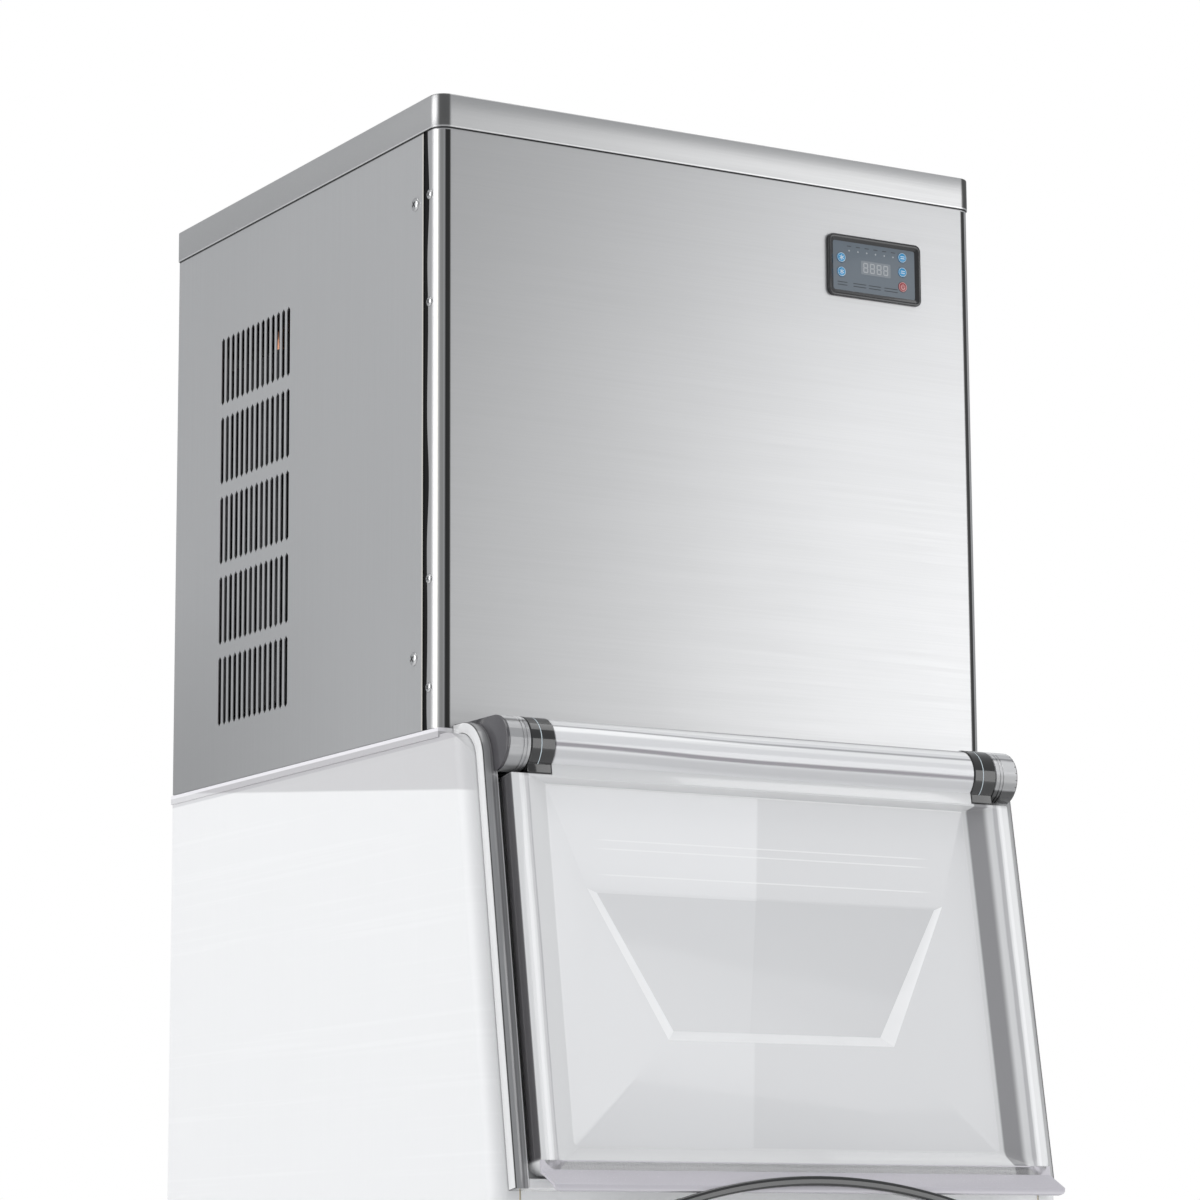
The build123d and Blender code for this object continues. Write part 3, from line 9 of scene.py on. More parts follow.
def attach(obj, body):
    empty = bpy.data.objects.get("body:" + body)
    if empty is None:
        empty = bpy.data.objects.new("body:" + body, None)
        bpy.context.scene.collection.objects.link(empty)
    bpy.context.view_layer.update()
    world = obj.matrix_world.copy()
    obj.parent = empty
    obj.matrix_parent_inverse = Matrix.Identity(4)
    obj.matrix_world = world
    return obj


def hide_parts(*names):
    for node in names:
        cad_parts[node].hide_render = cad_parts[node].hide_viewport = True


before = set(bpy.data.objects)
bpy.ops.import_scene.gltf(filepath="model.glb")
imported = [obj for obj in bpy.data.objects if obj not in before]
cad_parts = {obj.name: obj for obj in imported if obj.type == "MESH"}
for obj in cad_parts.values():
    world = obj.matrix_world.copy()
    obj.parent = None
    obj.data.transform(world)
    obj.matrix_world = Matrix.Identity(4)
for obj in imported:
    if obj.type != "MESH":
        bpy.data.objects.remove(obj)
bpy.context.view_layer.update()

bl_info = {
    "name": "Ice Machine Dresser",
    "version": (1, 0, 0),
    "blender": (4, 5, 0),
    "location": "3D View > Sidebar > Ice Machine",
    "description": "Builds the looks of a modular ice machine round its packed parts",
    "category": "Object",
}

# Sizes shared with the part, in millimetres
MM = 0.001
HALF = 280.0
TOP = 1620.0
HEAD_BASE = 1072.0
HEAD_FRONT = -193.77
HEAD_BACK = HEAD_FRONT + 530.0
SHEET = 1.2
SKIN_X = HALF - SHEET
SKIN_FRONT = HEAD_FRONT + SHEET
SKIN_BACK = HEAD_BACK - SHEET
FLANGE_END = HEAD_FRONT + 20.0
SIDE_START = HEAD_FRONT + 27.0
PANEL_BOTTOM = HEAD_BASE + 1.0
PANEL_TOP = TOP - 6.0
BEZEL_X = 168.0
BEZEL_Z = TOP - 100.2
KEYS = {
    "key_left_upper": (132.3, 1527.2),
    "key_left_lower": (132.3, 1514.0),
    "key_right_upper": (199.0, 1535.1),
    "key_right_middle": (199.0, 1521.6),
    "key_power": (199.0, 1507.8),
}
DISPLAY = (169.9, 1520.6, 33.0, 13.5)
HINGE_Y = HEAD_FRONT - 56.0
HINGE_Z = 1054.0
LEAN = math.radians(8.69)
DOOR_HALF = 250.0
EAR_OUT = 257.0
EAR_IN = 234.0
BLOCK_IN = 211.0


# Settings

class CasingSettings(bpy.types.PropertyGroup):
    edge: FloatProperty(name="Edge Rounding", description="Rounding of folded sheet edges",
                        default=0.0012, min=0.0001, max=0.004, unit="LENGTH")
    corner: FloatProperty(name="Corner Radius", description="Radius of the upright front corners",
                          default=0.014, min=0.002, max=0.05, unit="LENGTH")
    bulge: FloatProperty(name="Seal Bulge", description="How far the joint seal swells over the flange",
                         default=0.0034, min=0.0, max=0.006, unit="LENGTH")


class VentSettings(bpy.types.PropertyGroup):
    columns: IntProperty(name="Columns", description="Slots side by side", default=14, min=1, max=40)
    rows: IntProperty(name="Rows", description="Rows of slots", default=5, min=1, max=12)
    pitch: FloatProperty(name="Pitch", description="Distance from slot to slot",
                         default=0.0107, min=0.005, max=0.05, unit="LENGTH")
    row_pitch: FloatProperty(name="Row Pitch", description="Distance from row to row",
                             default=0.0758, min=0.02, max=0.3, unit="LENGTH")
    width: FloatProperty(name="Slot Width", description="Width of one slot",
                         default=0.0064, min=0.001, max=0.02, unit="LENGTH")
    length: FloatProperty(name="Slot Length", description="Length of one slot",
                          default=0.065, min=0.01, max=0.2, unit="LENGTH")


class DoorSettings(bpy.types.PropertyGroup):
    wall: FloatProperty(name="Wall", description="Thickness of the clear moulding",
                        default=0.003, min=0.001, max=0.006, unit="LENGTH")
    soft_edge: FloatProperty(name="Edge Rounding", description="Rounding of the moulded edges",
                             default=0.0018, min=0.0002, max=0.005, unit="LENGTH")
    pocket: FloatProperty(name="Pocket Depth", description="Depth of the wedge pocket at its lower edge",
                          default=0.006, min=0.001, max=0.012, unit="LENGTH")


# Mesh helpers, in millimetres until an object is made

def finish_mesh(name, bm, materials, body, node=None, angle=35.0, leaned=False):
    """Turns a bmesh in millimetres into a piece that rides on a body."""
    bmesh.ops.remove_doubles(bm, verts=bm.verts, dist=0.001)
    bmesh.ops.recalc_face_normals(bm, faces=bm.faces)
    if leaned:
        bm.transform(door_matrix())
    bm.transform(Matrix.Scale(MM, 4))
    mesh = bpy.data.meshes.new(name)
    bm.to_mesh(mesh)
    bm.free()
    for material in materials if isinstance(materials, (list, tuple)) else [materials]:
        mesh.materials.append(material)
    mesh.shade_smooth()
    mesh.set_sharp_from_angle(angle=math.radians(angle))
    obj = bpy.data.objects.new(name, mesh)
    bpy.context.scene.collection.objects.link(obj)
    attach(obj, body)
    if node:
        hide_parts(*([node] if isinstance(node, str) else node))
    return obj


def door_matrix():
    """From the door frame (X, -out, -down) to the place on the bin."""
    return Matrix.Translation((0, HINGE_Y, HINGE_Z)) @ Matrix.Rotation(-LEAN, 4, "X")


def door_point(x, out, down):
    return Vector((x, -out, -down))


def bridge(bm, rings, cap_start=False, cap_end=False, closed=True, slots=None):
    """Quads between successive rings with the same number of points."""
    made = [[bm.verts.new(p) for p in ring] for ring in rings]
    count = len(made[0])
    for n, (a, b) in enumerate(zip(made, made[1:])):
        for i in range(count if closed else count - 1):
            j = (i + 1) % count
            face = bm.faces.new((a[i], a[j], b[j], b[i]))
            if slots:
                face.material_index = slots[n]
    if cap_start:
        bm.faces.new(made[0])
    if cap_end:
        bm.faces.new(reversed(made[-1]))
    return made


def rounded_rectangle(x0, x1, y0, y1, radii, steps=6):
    """Points round a rectangle; radii for the corners (x0 y0), (x1 y0), (x1 y1), (x0 y1)."""
    corners = [(x0, y0, 180), (x1, y0, 270), (x1, y1, 0), (x0, y1, 90)]
    points = []
    for (x, y, start), radius in zip(corners, radii):
        radius = max(radius, 0.01)
        cx = x + radius if x == x0 else x - radius
        cy = y + radius if y == y0 else y - radius
        for step in range(steps + 1):
            a = math.radians(start + 90 * step / steps)
            points.append((cx + radius * math.cos(a), cy + radius * math.sin(a)))
    return points


def inset_box(x0, x1, y0, y1, radius, inset, steps=6, back=0.01):
    """Plan outline of a casing, moved inward by the inset."""
    front = max(radius - inset, 0.2)
    return rounded_rectangle(x0 + inset, x1 - inset, y0 + inset, y1 - inset,
                             (front, front, back, back), steps)


def lathe(bm, profile, axis_point, along, sides=40, slot=0):
    """Turns (distance along, radius) pairs round an axis through a point."""
    along = Vector(along).normalized()
    side = along.orthogonal().normalized()
    other = along.cross(side)
    rings = []
    for distance, radius in profile:
        centre = Vector(axis_point) + along * distance
        rings.append([centre + (side * math.cos(a) + other * math.sin(a)) * max(radius, 0.001)
                      for a in (2 * math.pi * n / sides for n in range(sides))])
    made = bridge(bm, rings, cap_start=True, cap_end=True)
    for ring in made:
        for vert in ring:
            for face in vert.link_faces:
                face.material_index = slot


def block(bm, x0, x1, y0, y1, z0, z1, bevel=0.0, segments=2, slot=0):
    """Box with rounded edges."""
    part = bmesh.new()
    bmesh.ops.create_cube(part, size=1.0)
    for v in part.verts:
        v.co = Vector(((x0 + x1) / 2 + v.co.x * (x1 - x0), (y0 + y1) / 2 + v.co.y * (y1 - y0),
                       (z0 + z1) / 2 + v.co.z * (z1 - z0)))
    if bevel:
        bmesh.ops.bevel(part, geom=part.edges[:], offset=bevel, segments=segments, profile=0.5,
                        affect="EDGES")
    add_into(bm, part, slot)


def outline_block(bm, outline, lo, hi, place, bevel=0.0, segments=2, slot=0):
    """Outline drawn out between two heights, rounded, and set in place by a matrix."""
    part = bmesh.new()
    bottom = [part.verts.new((x, y, lo)) for x, y in outline]
    top = [part.verts.new((x, y, hi)) for x, y in outline]
    count = len(outline)
    part.faces.new(bottom)
    part.faces.new(reversed(top))
    for i in range(count):
        j = (i + 1) % count
        part.faces.new((bottom[i], bottom[j], top[j], top[i]))
    bmesh.ops.recalc_face_normals(part, faces=part.faces)
    if bevel:
        rims = [e for e in part.edges if abs(e.verts[0].co.z - e.verts[1].co.z) < 1e-6]
        bmesh.ops.bevel(part, geom=rims, offset=bevel, segments=segments, profile=0.5,
                        affect="EDGES", clamp_overlap=True)
    part.transform(place)
    add_into(bm, part, slot)


def add_into(bm, part, slot):
    """Copies one bmesh into another with its material slot."""
    offset = {}
    for v in part.verts:
        offset[v] = bm.verts.new(v.co)
    for f in part.faces:
        face = bm.faces.new([offset[v] for v in f.verts])
        face.material_index = slot
    part.free()


# Shader helpers

class Value:
    """One shader output; the operators make Math nodes."""

    def __init__(self, tree, socket):
        self.tree, self.socket = tree, socket

    def math(self, operation, *others):
        node = self.tree.nodes.new("ShaderNodeMath")
        node.operation = operation
        for slot, value in zip(node.inputs, (self, *others)):
            if isinstance(value, Value):
                self.tree.links.new(value.socket, slot)
            else:
                slot.default_value = value
        return Value(self.tree, node.outputs[0])

    def __add__(self, other):
        return self.math("ADD", other)

    __radd__ = __add__

    def __mul__(self, other):
        return self.math("MULTIPLY", other)

    __rmul__ = __mul__

    def __sub__(self, other):
        return self.math("SUBTRACT", other)

    def __rsub__(self, other):
        return (self * -1.0) + other

    def __truediv__(self, other):
        return self.math("DIVIDE", other)

    def __rtruediv__(self, other):
        return self.math("POWER", -1.0) * other

    def step(self, lo, hi):
        """Smooth rise from 0 at lo to 1 at hi."""
        node = self.tree.nodes.new("ShaderNodeMapRange")
        node.interpolation_type = "SMOOTHSTEP"
        self.tree.links.new(self.socket, node.inputs["Value"])
        node.inputs["From Min"].default_value = lo
        node.inputs["From Max"].default_value = hi
        return Value(self.tree, node.outputs["Result"])

    def band(self, lo, hi, soft):
        """One between lo and hi, nothing outside."""
        return self.step(lo - soft, lo + soft) * (1.0 - self.step(hi - soft, hi + soft))


class Shader:
    """A material under construction."""

    def __init__(self, name, color, roughness, metallic=0.0, coat=0.0, **inputs):
        self.material = bpy.data.materials.new(name)
        self.material.use_nodes = True
        self.material.diffuse_color = (*color, 1.0)
        self.tree = self.material.node_tree
        self.bsdf = self.tree.nodes["Principled BSDF"]
        self.color = self.vector(color)
        self.set("Roughness", roughness)
        self.set("Metallic", metallic)
        self.set("Coat Weight", coat)
        for name, value in inputs.items():
            self.set(name.replace("_", " "), value)

    def node(self, kind, inputs=None, **settings):
        """Any node, with its settings and its inputs by name."""
        made = self.tree.nodes.new(kind)
        for name, value in settings.items():
            setattr(made, name, value)
        for name, value in (inputs or {}).items():
            if isinstance(value, Value):
                self.tree.links.new(value.socket, made.inputs[name])
            else:
                made.inputs[name].default_value = value
        return made

    def vector(self, color):
        made = self.node("ShaderNodeRGB")
        made.outputs[0].default_value = (*color, 1.0)
        return Value(self.tree, made.outputs[0])

    def set(self, name, value):
        slot = self.bsdf.inputs[name]
        if isinstance(value, Value):
            self.tree.links.new(value.socket, slot)
        else:
            slot.default_value = value

    def place(self):
        """Object coordinates as X, Y and Z values in metres."""
        coords = self.node("ShaderNodeTexCoord")
        split = self.node("ShaderNodeSeparateXYZ", {"Vector": Value(self.tree, coords.outputs["Object"])})
        return [Value(self.tree, out) for out in split.outputs]

    def scaled(self, x, y, z):
        """Object coordinates stretched per axis, for grain and brushing."""
        coords = self.node("ShaderNodeTexCoord")
        made = self.node("ShaderNodeVectorMath", {0: Value(self.tree, coords.outputs["Object"])},
                         operation="MULTIPLY")
        made.inputs[1].default_value = (x, y, z)
        return Value(self.tree, made.outputs[0])

    def noise(self, vector, detail=3.0, rough=0.6):
        made = self.node("ShaderNodeTexNoise", {"Vector": vector, "Scale": 1.0, "Detail": detail,
                                                "Roughness": rough})
        return Value(self.tree, made.outputs[0])

    def mix(self, factor, other):
        """Blends the colour so far towards another colour."""
        made = self.node("ShaderNodeMix", data_type="RGBA")
        self.tree.links.new(self.color.socket, made.inputs["A"] if "A" in made.inputs else made.inputs[6])
        self.tree.links.new(self.color.socket, made.inputs[6])
        target = other if isinstance(other, Value) else self.vector(other)
        self.tree.links.new(target.socket, made.inputs[7])
        if isinstance(factor, Value):
            self.tree.links.new(factor.socket, made.inputs[0])
        else:
            made.inputs[0].default_value = factor
        self.color = Value(self.tree, made.outputs[2])

    def bump(self, height, strength, distance):
        made = self.node("ShaderNodeBump", {"Height": height, "Strength": strength,
                                            "Distance": distance})
        self.set("Normal", Value(self.tree, made.outputs["Normal"]))

    def done(self):
        self.set("Base Color", self.color)
        return self.material


def brushed(name, color, along, roughness, metallic, shade=None, strength=0.12, contrast=0.3):
    """Brushed steel with its grain along one axis ("X", "Y" or "Z")."""
    s = Shader(name, color, roughness, metallic)
    fine = {"X": (6.0, 900.0, 900.0), "Y": (900.0, 6.0, 900.0), "Z": (900.0, 900.0, 6.0)}[along]
    wide = {"X": (2.0, 120.0, 120.0), "Y": (120.0, 2.0, 120.0), "Z": (120.0, 120.0, 2.0)}[along]
    grain = s.noise(s.scaled(*fine), 4.0, 0.7)
    broad = s.noise(s.scaled(*wide), 3.0, 0.6)
    dark = tuple(c * 0.82 for c in color)
    light = tuple(min(c * 1.08, 1.0) for c in color)
    s.mix(grain.step(0.38, 0.62) * contrast, dark)
    s.mix(broad.step(0.45, 0.75) * contrast * 0.7, light)
    x, y, z = s.place()
    if shade:
        shade(s, x, y, z)
    cloud = s.noise(s.scaled(3.0, 3.0, 3.0), 2.0, 0.5)
    s.set("Roughness", grain * 0.12 + cloud * 0.08 + (roughness - 0.1))
    s.bump(grain * 0.7 + broad * 0.3, strength, 0.0002)
    return s.done()


def moulded(name, color, roughness, coat=0.0, grain=0.05, metallic=0.0, **inputs):
    """Moulded plastic or rubber with a fine surface grain."""
    s = Shader(name, color, roughness, metallic, coat, **inputs)
    fine = s.noise(s.scaled(900.0, 900.0, 900.0), 3.0, 0.6)
    cloud = s.noise(s.scaled(14.0, 14.0, 14.0), 2.0, 0.5)
    s.mix(cloud.step(0.4, 0.7) * 0.25, tuple(c * 0.88 for c in color))
    s.set("Roughness", fine * 0.15 + (roughness - 0.07))
    s.bump(fine, grain, 0.0002)
    return s.done()


def rim_material():
    """Clear rim of the door: pale, with painted shade and painted highlight streaks along its folded walls, and
    painted shade on its left side face.
    """
    s = Shader("door_rim", (0.80, 0.80, 0.80), 0.15, 0.0, 0.7)
    x, y, z = s.place()
    grain = s.noise(s.scaled(60.0, 60.0, 3.0), 3.0, 0.6)
    side = x.math("ABSOLUTE") + (grain - 0.5) * 0.003
    # Painted shade line at the top of the rim slope, then a painted highlight line on the rim edge beside it.
    s.mix(side.band(0.2335, 0.2375, 0.0008) * 0.5, (0.30, 0.29, 0.31))
    s.mix(side.band(0.2395, 0.2425, 0.0006) * 0.7, (0.97, 0.97, 0.97))
    # Painted shade: the left side face is made dark.
    s.mix(x.step(-0.2499, -0.2490) * -0.97 + 0.97, (0.052, 0.049, 0.053))
    # Painted shade: a dark band on the right slope of the rim.
    s.mix(x.step(0.2125, 0.2145) * (1.0 - x.step(0.225, 0.230)) * 0.75, (0.16, 0.155, 0.165))
    s.set("Roughness", grain * 0.1 + 0.1)
    return s.done()


MATERIALS = {}


def corner_reflection_bands(s, x, y, z, low, high):
    """Painted reflection: dark and bright upright streaks of the rounded front corners, by distance from the middle.
    """
    side = x.math("ABSOLUTE")
    arc = 1.0 - y.step(-0.1812, -0.1800)
    part = arc * z.band(low, high, 0.0002)
    # Painted highlight streak at the outer edge of the corner, then darker painted reflection streaks towards the
    # middle.
    s.mix(side.band(0.2758, 0.2774, 0.0004) * part * 0.7, (0.80, 0.78, 0.72))
    s.mix(side.band(0.2722, 0.2749, 0.0006) * part * 0.5, (0.20, 0.20, 0.19))
    s.mix(side.band(0.2665, 0.2712, 0.0009) * part * 0.95, (0.012, 0.012, 0.011))


def cover_shade(s, x, y, z):
    """Painted reflection as a dark streak at the corners, a painted highlight on the hem over a painted shadow line,
    and painted shade towards the left.
    """
    side = x.math("ABSOLUTE")
    arc = 1.0 - y.step(-0.1812, -0.1800)
    # Painted reflection: dark streak on the rounded corners.
    s.mix(side.band(0.2675, 0.2765, 0.0012) * arc * 0.9, (0.055, 0.055, 0.052))
    # Painted highlight on the lower edge of the hem.
    s.mix((1.0 - z.step(1.5915, 1.5924)) * 0.6, (0.85, 0.85, 0.85))
    # Painted shadow line under the hem.
    s.mix((1.0 - z.step(1.5904, 1.5910)) * 0.9, (0.02, 0.02, 0.02))
    # Painted shade: darker towards the left.
    s.mix((1.0 - x.step(-0.26, 0.28)) * arc * 0.25, (0.25, 0.25, 0.25))


def front_shade(s, x, y, z):
    """Painted light, lighter to the right; painted reflection streaks at the corners; and a painted shadow line under
    the cover.
    """
    # Painted shade: darker towards the left.
    s.mix((1.0 - x.step(-0.28, 0.26)) * 0.55, (0.30, 0.30, 0.30))
    corner_reflection_bands(s, x, y, z, 1.0, 1.5885)
    # Painted shadow line just under the cover.
    s.mix(z.step(1.5888, 1.5900) * 0.95, (0.006, 0.006, 0.006))


def side_shade(s, x, y, z):
    """Painted highlight along the folded front edge, painted shade darker at the foot towards the back, and a painted
    shadow line under the cover.
    """
    # Painted shade: darker low down and towards the back.
    low = (1.0 - z.step(1.08, 1.30)) * y.step(-0.10, 0.30)
    s.mix(low * 0.35, (0.26, 0.26, 0.26))
    # Painted highlight in a cream tone along the front edge.
    s.mix((1.0 - y.step(-0.1650, -0.1640)) * 0.8, (0.80, 0.77, 0.70))
    # Painted shadow line under the cover.
    s.mix(z.step(1.5890, 1.5900) * 0.9, (0.01, 0.01, 0.01))


def bin_shade(s, x, y, z):
    """Painted shade as a grey field on the left face under the upper edge with a level lower border, a painted
    highlight on the top bead over a painted shadow line, and faint level streaks.
    """
    border = z - (y * 0.1023 + 1.0402)
    streak = s.noise(s.scaled(1.5, 1.5, 160.0), 3.0, 0.6)
    s.mix(streak.step(0.55, 0.7) * 0.12, (1.0, 1.0, 1.0))
    left = 1.0 - x.step(-0.279, -0.262)
    # Painted shade: grey field on the left face.
    s.mix(border.step(-0.0012, 0.0012) * left * 0.55, (0.42, 0.41, 0.42))
    # Painted shadow line under the top bead.
    s.mix(z.step(1.0600, 1.0612) * (1.0 - z.step(1.0685, 1.0692)) * left * 0.3, (0.30, 0.28, 0.31))
    # Painted highlight on the top bead.
    s.mix(z.step(1.0688, 1.0696) * left * 0.9, (0.86, 0.84, 0.87))


def round_hinge(s):
    """Angle round the hinge line in degrees, 0 to the front and 90 on top, and the distance from it."""
    x, y, z = s.place()
    out = (y - HINGE_Y * MM) * -1.0
    high = z - HINGE_Z * MM
    angle = high.math("ARCTAN2", out) * (180.0 / math.pi)
    reach = (out * out + high * high).math("SQRT")
    return x, angle, reach


def rail_material():
    """Clear rail: grey face, dark outer line of painted shade, white inner line of painted highlight, pale outer
    side.
    """
    s = Shader("rail_clear", (0.30, 0.30, 0.305), 0.16, 0.0, 0.8)
    x, y, z = s.place()
    side = x.math("ABSOLUTE")
    grain = s.noise(s.scaled(200.0, 30.0, 3.0), 3.0, 0.6)
    s.mix(grain.step(0.4, 0.65) * 0.5, (0.48, 0.48, 0.48))
    s.mix(side.band(0.2572, 0.2590, 0.0006) * 0.6, (0.16, 0.155, 0.16))
    # Painted highlight along the inner edge.
    s.mix((1.0 - side.step(0.2540, 0.2546)) * 0.9, (0.95, 0.95, 0.95))
    # Painted shade along the rounded outer edge.
    s.mix(side.step(0.2646, 0.2651) * 0.9, (0.03, 0.03, 0.03))
    s.mix(side.step(0.26585, 0.26595), (0.80, 0.80, 0.80))
    s.set("Roughness", grain * 0.1 + 0.12)
    return s.done()


def barrel_material(name, bands, color):
    """Round hinge part with painted reflections: level streaks of highlight and shade by angle."""
    s = Shader(name, color, 0.12, 0.0, 0.9)
    x, angle, reach = round_hinge(s)
    grain = s.noise(s.scaled(60.0, 300.0, 300.0), 2.0, 0.6)
    at = angle + (grain - 0.5) * 5.0
    band_color(s, at, bands)
    s.set("Roughness", grain * 0.1 + 0.08)
    return s.done()


def panel_material(name, left, right):
    """Clear panel: slightly greyer right of an upright line, the painted shade of the inner wall seen through it;
    painted shade towards the bottom; painted highlights as level lines of inner edges seen through.
    """
    s = Shader(name, left, 0.25, 0.0, 0.35)
    x, y, z = s.place()
    line = x - (z * 0.1265 - 0.1309)
    # Painted shade of the inner wall seen through the panel, right of the line, with a darker line along it.
    s.mix(line.step(-0.0006, 0.0006), right)
    s.mix(line.band(-0.0012, 0.0002, 0.0004) * 0.25, tuple(c * 0.85 for c in right))
    # Painted shade: darker towards the bottom, left of the line.
    low = 1.0 - z.step(0.74, 1.02)
    s.mix(low * (1.0 - line.step(-0.001, 0.001)) * 0.6, tuple(c * 0.88 for c in left))
    down = (HINGE_Z * MM - z) * (1.0 / math.cos(LEAN))
    inside = 1.0 - x.math("ABSOLUTE").step(0.150, 0.172)
    # Painted highlights: bright level lines on inner edges seen through the panel.
    for height in (0.0765, 0.0840, 0.1062):
        s.mix(down.band(height - 0.0005, height + 0.0005, 0.0004) * inside * 0.6, (0.98, 0.98, 0.98))
    cloud = s.noise(s.scaled(6.0, 6.0, 6.0), 2.0, 0.5)
    s.set("Roughness", cloud * 0.1 + 0.15)
    return s.done()


def make_materials():
    m = MATERIALS
    m["cover_steel"] = brushed("cover_steel", (0.50, 0.50, 0.50), "X", 0.36, 0.8, cover_shade, 0.06, 0.15)
    m["front_steel"] = brushed("front_steel", (0.62, 0.62, 0.622), "X", 0.38, 0.75, front_shade, 0.06, 0.14)
    m["side_steel"] = brushed("side_steel", (0.50, 0.502, 0.505), "Z", 0.42, 0.7, side_shade, 0.05, 0.1)
    m["back_steel"] = brushed("back_steel", (0.45, 0.45, 0.45), "X", 0.45, 0.8)
    m["bin_steel"] = brushed("bin_steel", (0.86, 0.86, 0.86), "Z", 0.5, 0.0, bin_shade, 0.02, 0.04)
    m["zinc"] = brushed("zinc", (0.55, 0.56, 0.57), "Z", 0.5, 0.7)
    m["seal_black"] = moulded("seal_black", (0.002, 0.002, 0.002), 0.7, Specular_IOR_Level=0.15)
    m["screw_steel"] = brushed("screw_steel", (0.62, 0.62, 0.62), "Z", 0.22, 1.0)
    # Painted shade: dark colour for the screw recess.
    m["recess_shade"] = moulded("recess_shade", (0.02, 0.02, 0.02), 0.5)
    m["bezel_black"] = moulded("bezel_black", (0.006, 0.006, 0.007), 0.25, coat=0.6)
    m["membrane_slate"] = moulded("membrane_slate", (0.115, 0.145, 0.175), 0.4, coat=0.25, grain=0.02)
    m["key_blue"] = moulded("key_blue", (0.006, 0.27, 0.56), 0.3, coat=0.5, grain=0.02)
    m["key_ring"] = moulded("key_ring", (0.55, 0.66, 0.72), 0.35, coat=0.4, grain=0.02)
    m["key_red"] = moulded("key_red", (0.30, 0.025, 0.03), 0.3, coat=0.5, grain=0.02)
    m["ring_pink"] = moulded("ring_pink", (0.75, 0.40, 0.40), 0.35, coat=0.4, grain=0.02)
    m["display_glass"] = moulded("display_glass", (0.20, 0.225, 0.25), 0.35, coat=0.3, grain=0.02)
    m["segment_grey"] = moulded("segment_grey", (0.42, 0.44, 0.46), 0.4, grain=0.02)
    m["print_dark"] = moulded("print_dark", (0.03, 0.035, 0.04), 0.5, grain=0.02)
    m["symbol_white"] = moulded("symbol_white", (0.75, 0.85, 0.9), 0.4, grain=0.02)
    m["clear_white"] = moulded("clear_white", (0.86, 0.86, 0.87), 0.16, coat=0.7, grain=0.01)
    m["door_rim"] = rim_material()
    # Painted shade: the lip is a darker copy of the door plastic.
    m["lip_shade_lilac"] = moulded("lip_shade_lilac", (0.58, 0.56, 0.60), 0.25, coat=0.5, grain=0.01)
    m["panel_white"] = panel_material("panel_white", (0.86, 0.86, 0.865), (0.74, 0.74, 0.745))
    # Painted shade: the pocket floor is a darker copy of the door panel.
    m["pocket_floor_shade"] = panel_material("pocket_floor_shade", (0.78, 0.78, 0.785), (0.72, 0.72, 0.725))
    # Painted highlight: bright walls of the wedge pocket.
    m["pocket_highlight_white"] = moulded("pocket_highlight_white", (0.97, 0.97, 0.97), 0.3, coat=0.4, grain=0.01)
    # Painted shade: dark colour for the door's side face.
    m["smoke"] = moulded("smoke", (0.055, 0.052, 0.057), 0.2, coat=0.6, grain=0.01)
    m["gloss_black"] = moulded("gloss_black", (0.004, 0.004, 0.004), 0.12, coat=0.9, grain=0.01)
    m["ear_grey"] = moulded("ear_grey", (0.07, 0.067, 0.073), 0.22, coat=0.6, grain=0.01)
    m["rail_clear"] = rail_material()
    # Painted reflections on the clear barrel: bands (low, high, soft, colour, share) by angle round the hinge.
    m["barrel_clear"] = barrel_material("barrel_clear", [
        (58.0, 84.0, 3.0, (0.85, 0.85, 0.85), 0.9), (48.0, 54.0, 2.0, (0.12, 0.12, 0.12), 0.8),
        (-30.0, -12.0, 6.0, (0.62, 0.62, 0.62), 0.7), (-80.0, -55.0, 5.0, (0.15, 0.15, 0.15), 0.7)],
        (0.36, 0.36, 0.365))
    # Painted reflections on the chrome barrel: highlight and dark bands by angle round the hinge.
    m["barrel_chrome"] = barrel_material("barrel_chrome", [
        (62.0, 84.0, 3.0, (0.95, 0.95, 0.95), 0.9), (38.0, 44.0, 2.0, (0.16, 0.16, 0.165), 0.8),
        (8.0, 36.0, 4.0, (0.72, 0.72, 0.72), 0.8), (-30.0, 2.0, 4.0, (0.34, 0.34, 0.34), 0.8),
        (-72.0, -32.0, 3.0, (0.02, 0.02, 0.02), 0.95), (-86.0, -78.0, 2.0, (0.7, 0.7, 0.7), 0.8)],
        (0.50, 0.50, 0.505))
    m["chrome"] = brushed("chrome", (0.75, 0.75, 0.76), "X", 0.16, 0.9, strength=0.02)
    m["gasket_grey"] = moulded("gasket_grey", (0.30, 0.30, 0.31), 0.5)
    m["liner_white"] = moulded("liner_white", (0.80, 0.80, 0.79), 0.4, coat=0.1)
    m["foam_yellow"] = moulded("foam_yellow", (0.72, 0.62, 0.40), 0.9, grain=0.6)
    m["copper"] = brushed("copper", (0.70, 0.33, 0.20), "Z", 0.3, 0.9)
    # Painted shade: the coil behind the slots is made dark where little light reaches.
    m["coil_shade_dark"] = brushed("coil_shade_dark", (0.03, 0.03, 0.032), "Z", 0.5, 0.4)
    m["black_paint"] = moulded("black_paint", (0.015, 0.015, 0.016), 0.35, coat=0.3)
    m["white_plastic"] = moulded("white_plastic", (0.75, 0.75, 0.74), 0.4)
    m["grey_plastic"] = moulded("grey_plastic", (0.22, 0.22, 0.23), 0.45)
    m["board_green"] = moulded("board_green", (0.02, 0.16, 0.06), 0.4)
    m["leg_steel"] = brushed("leg_steel", (0.50, 0.50, 0.50), "Z", 0.3, 0.9)


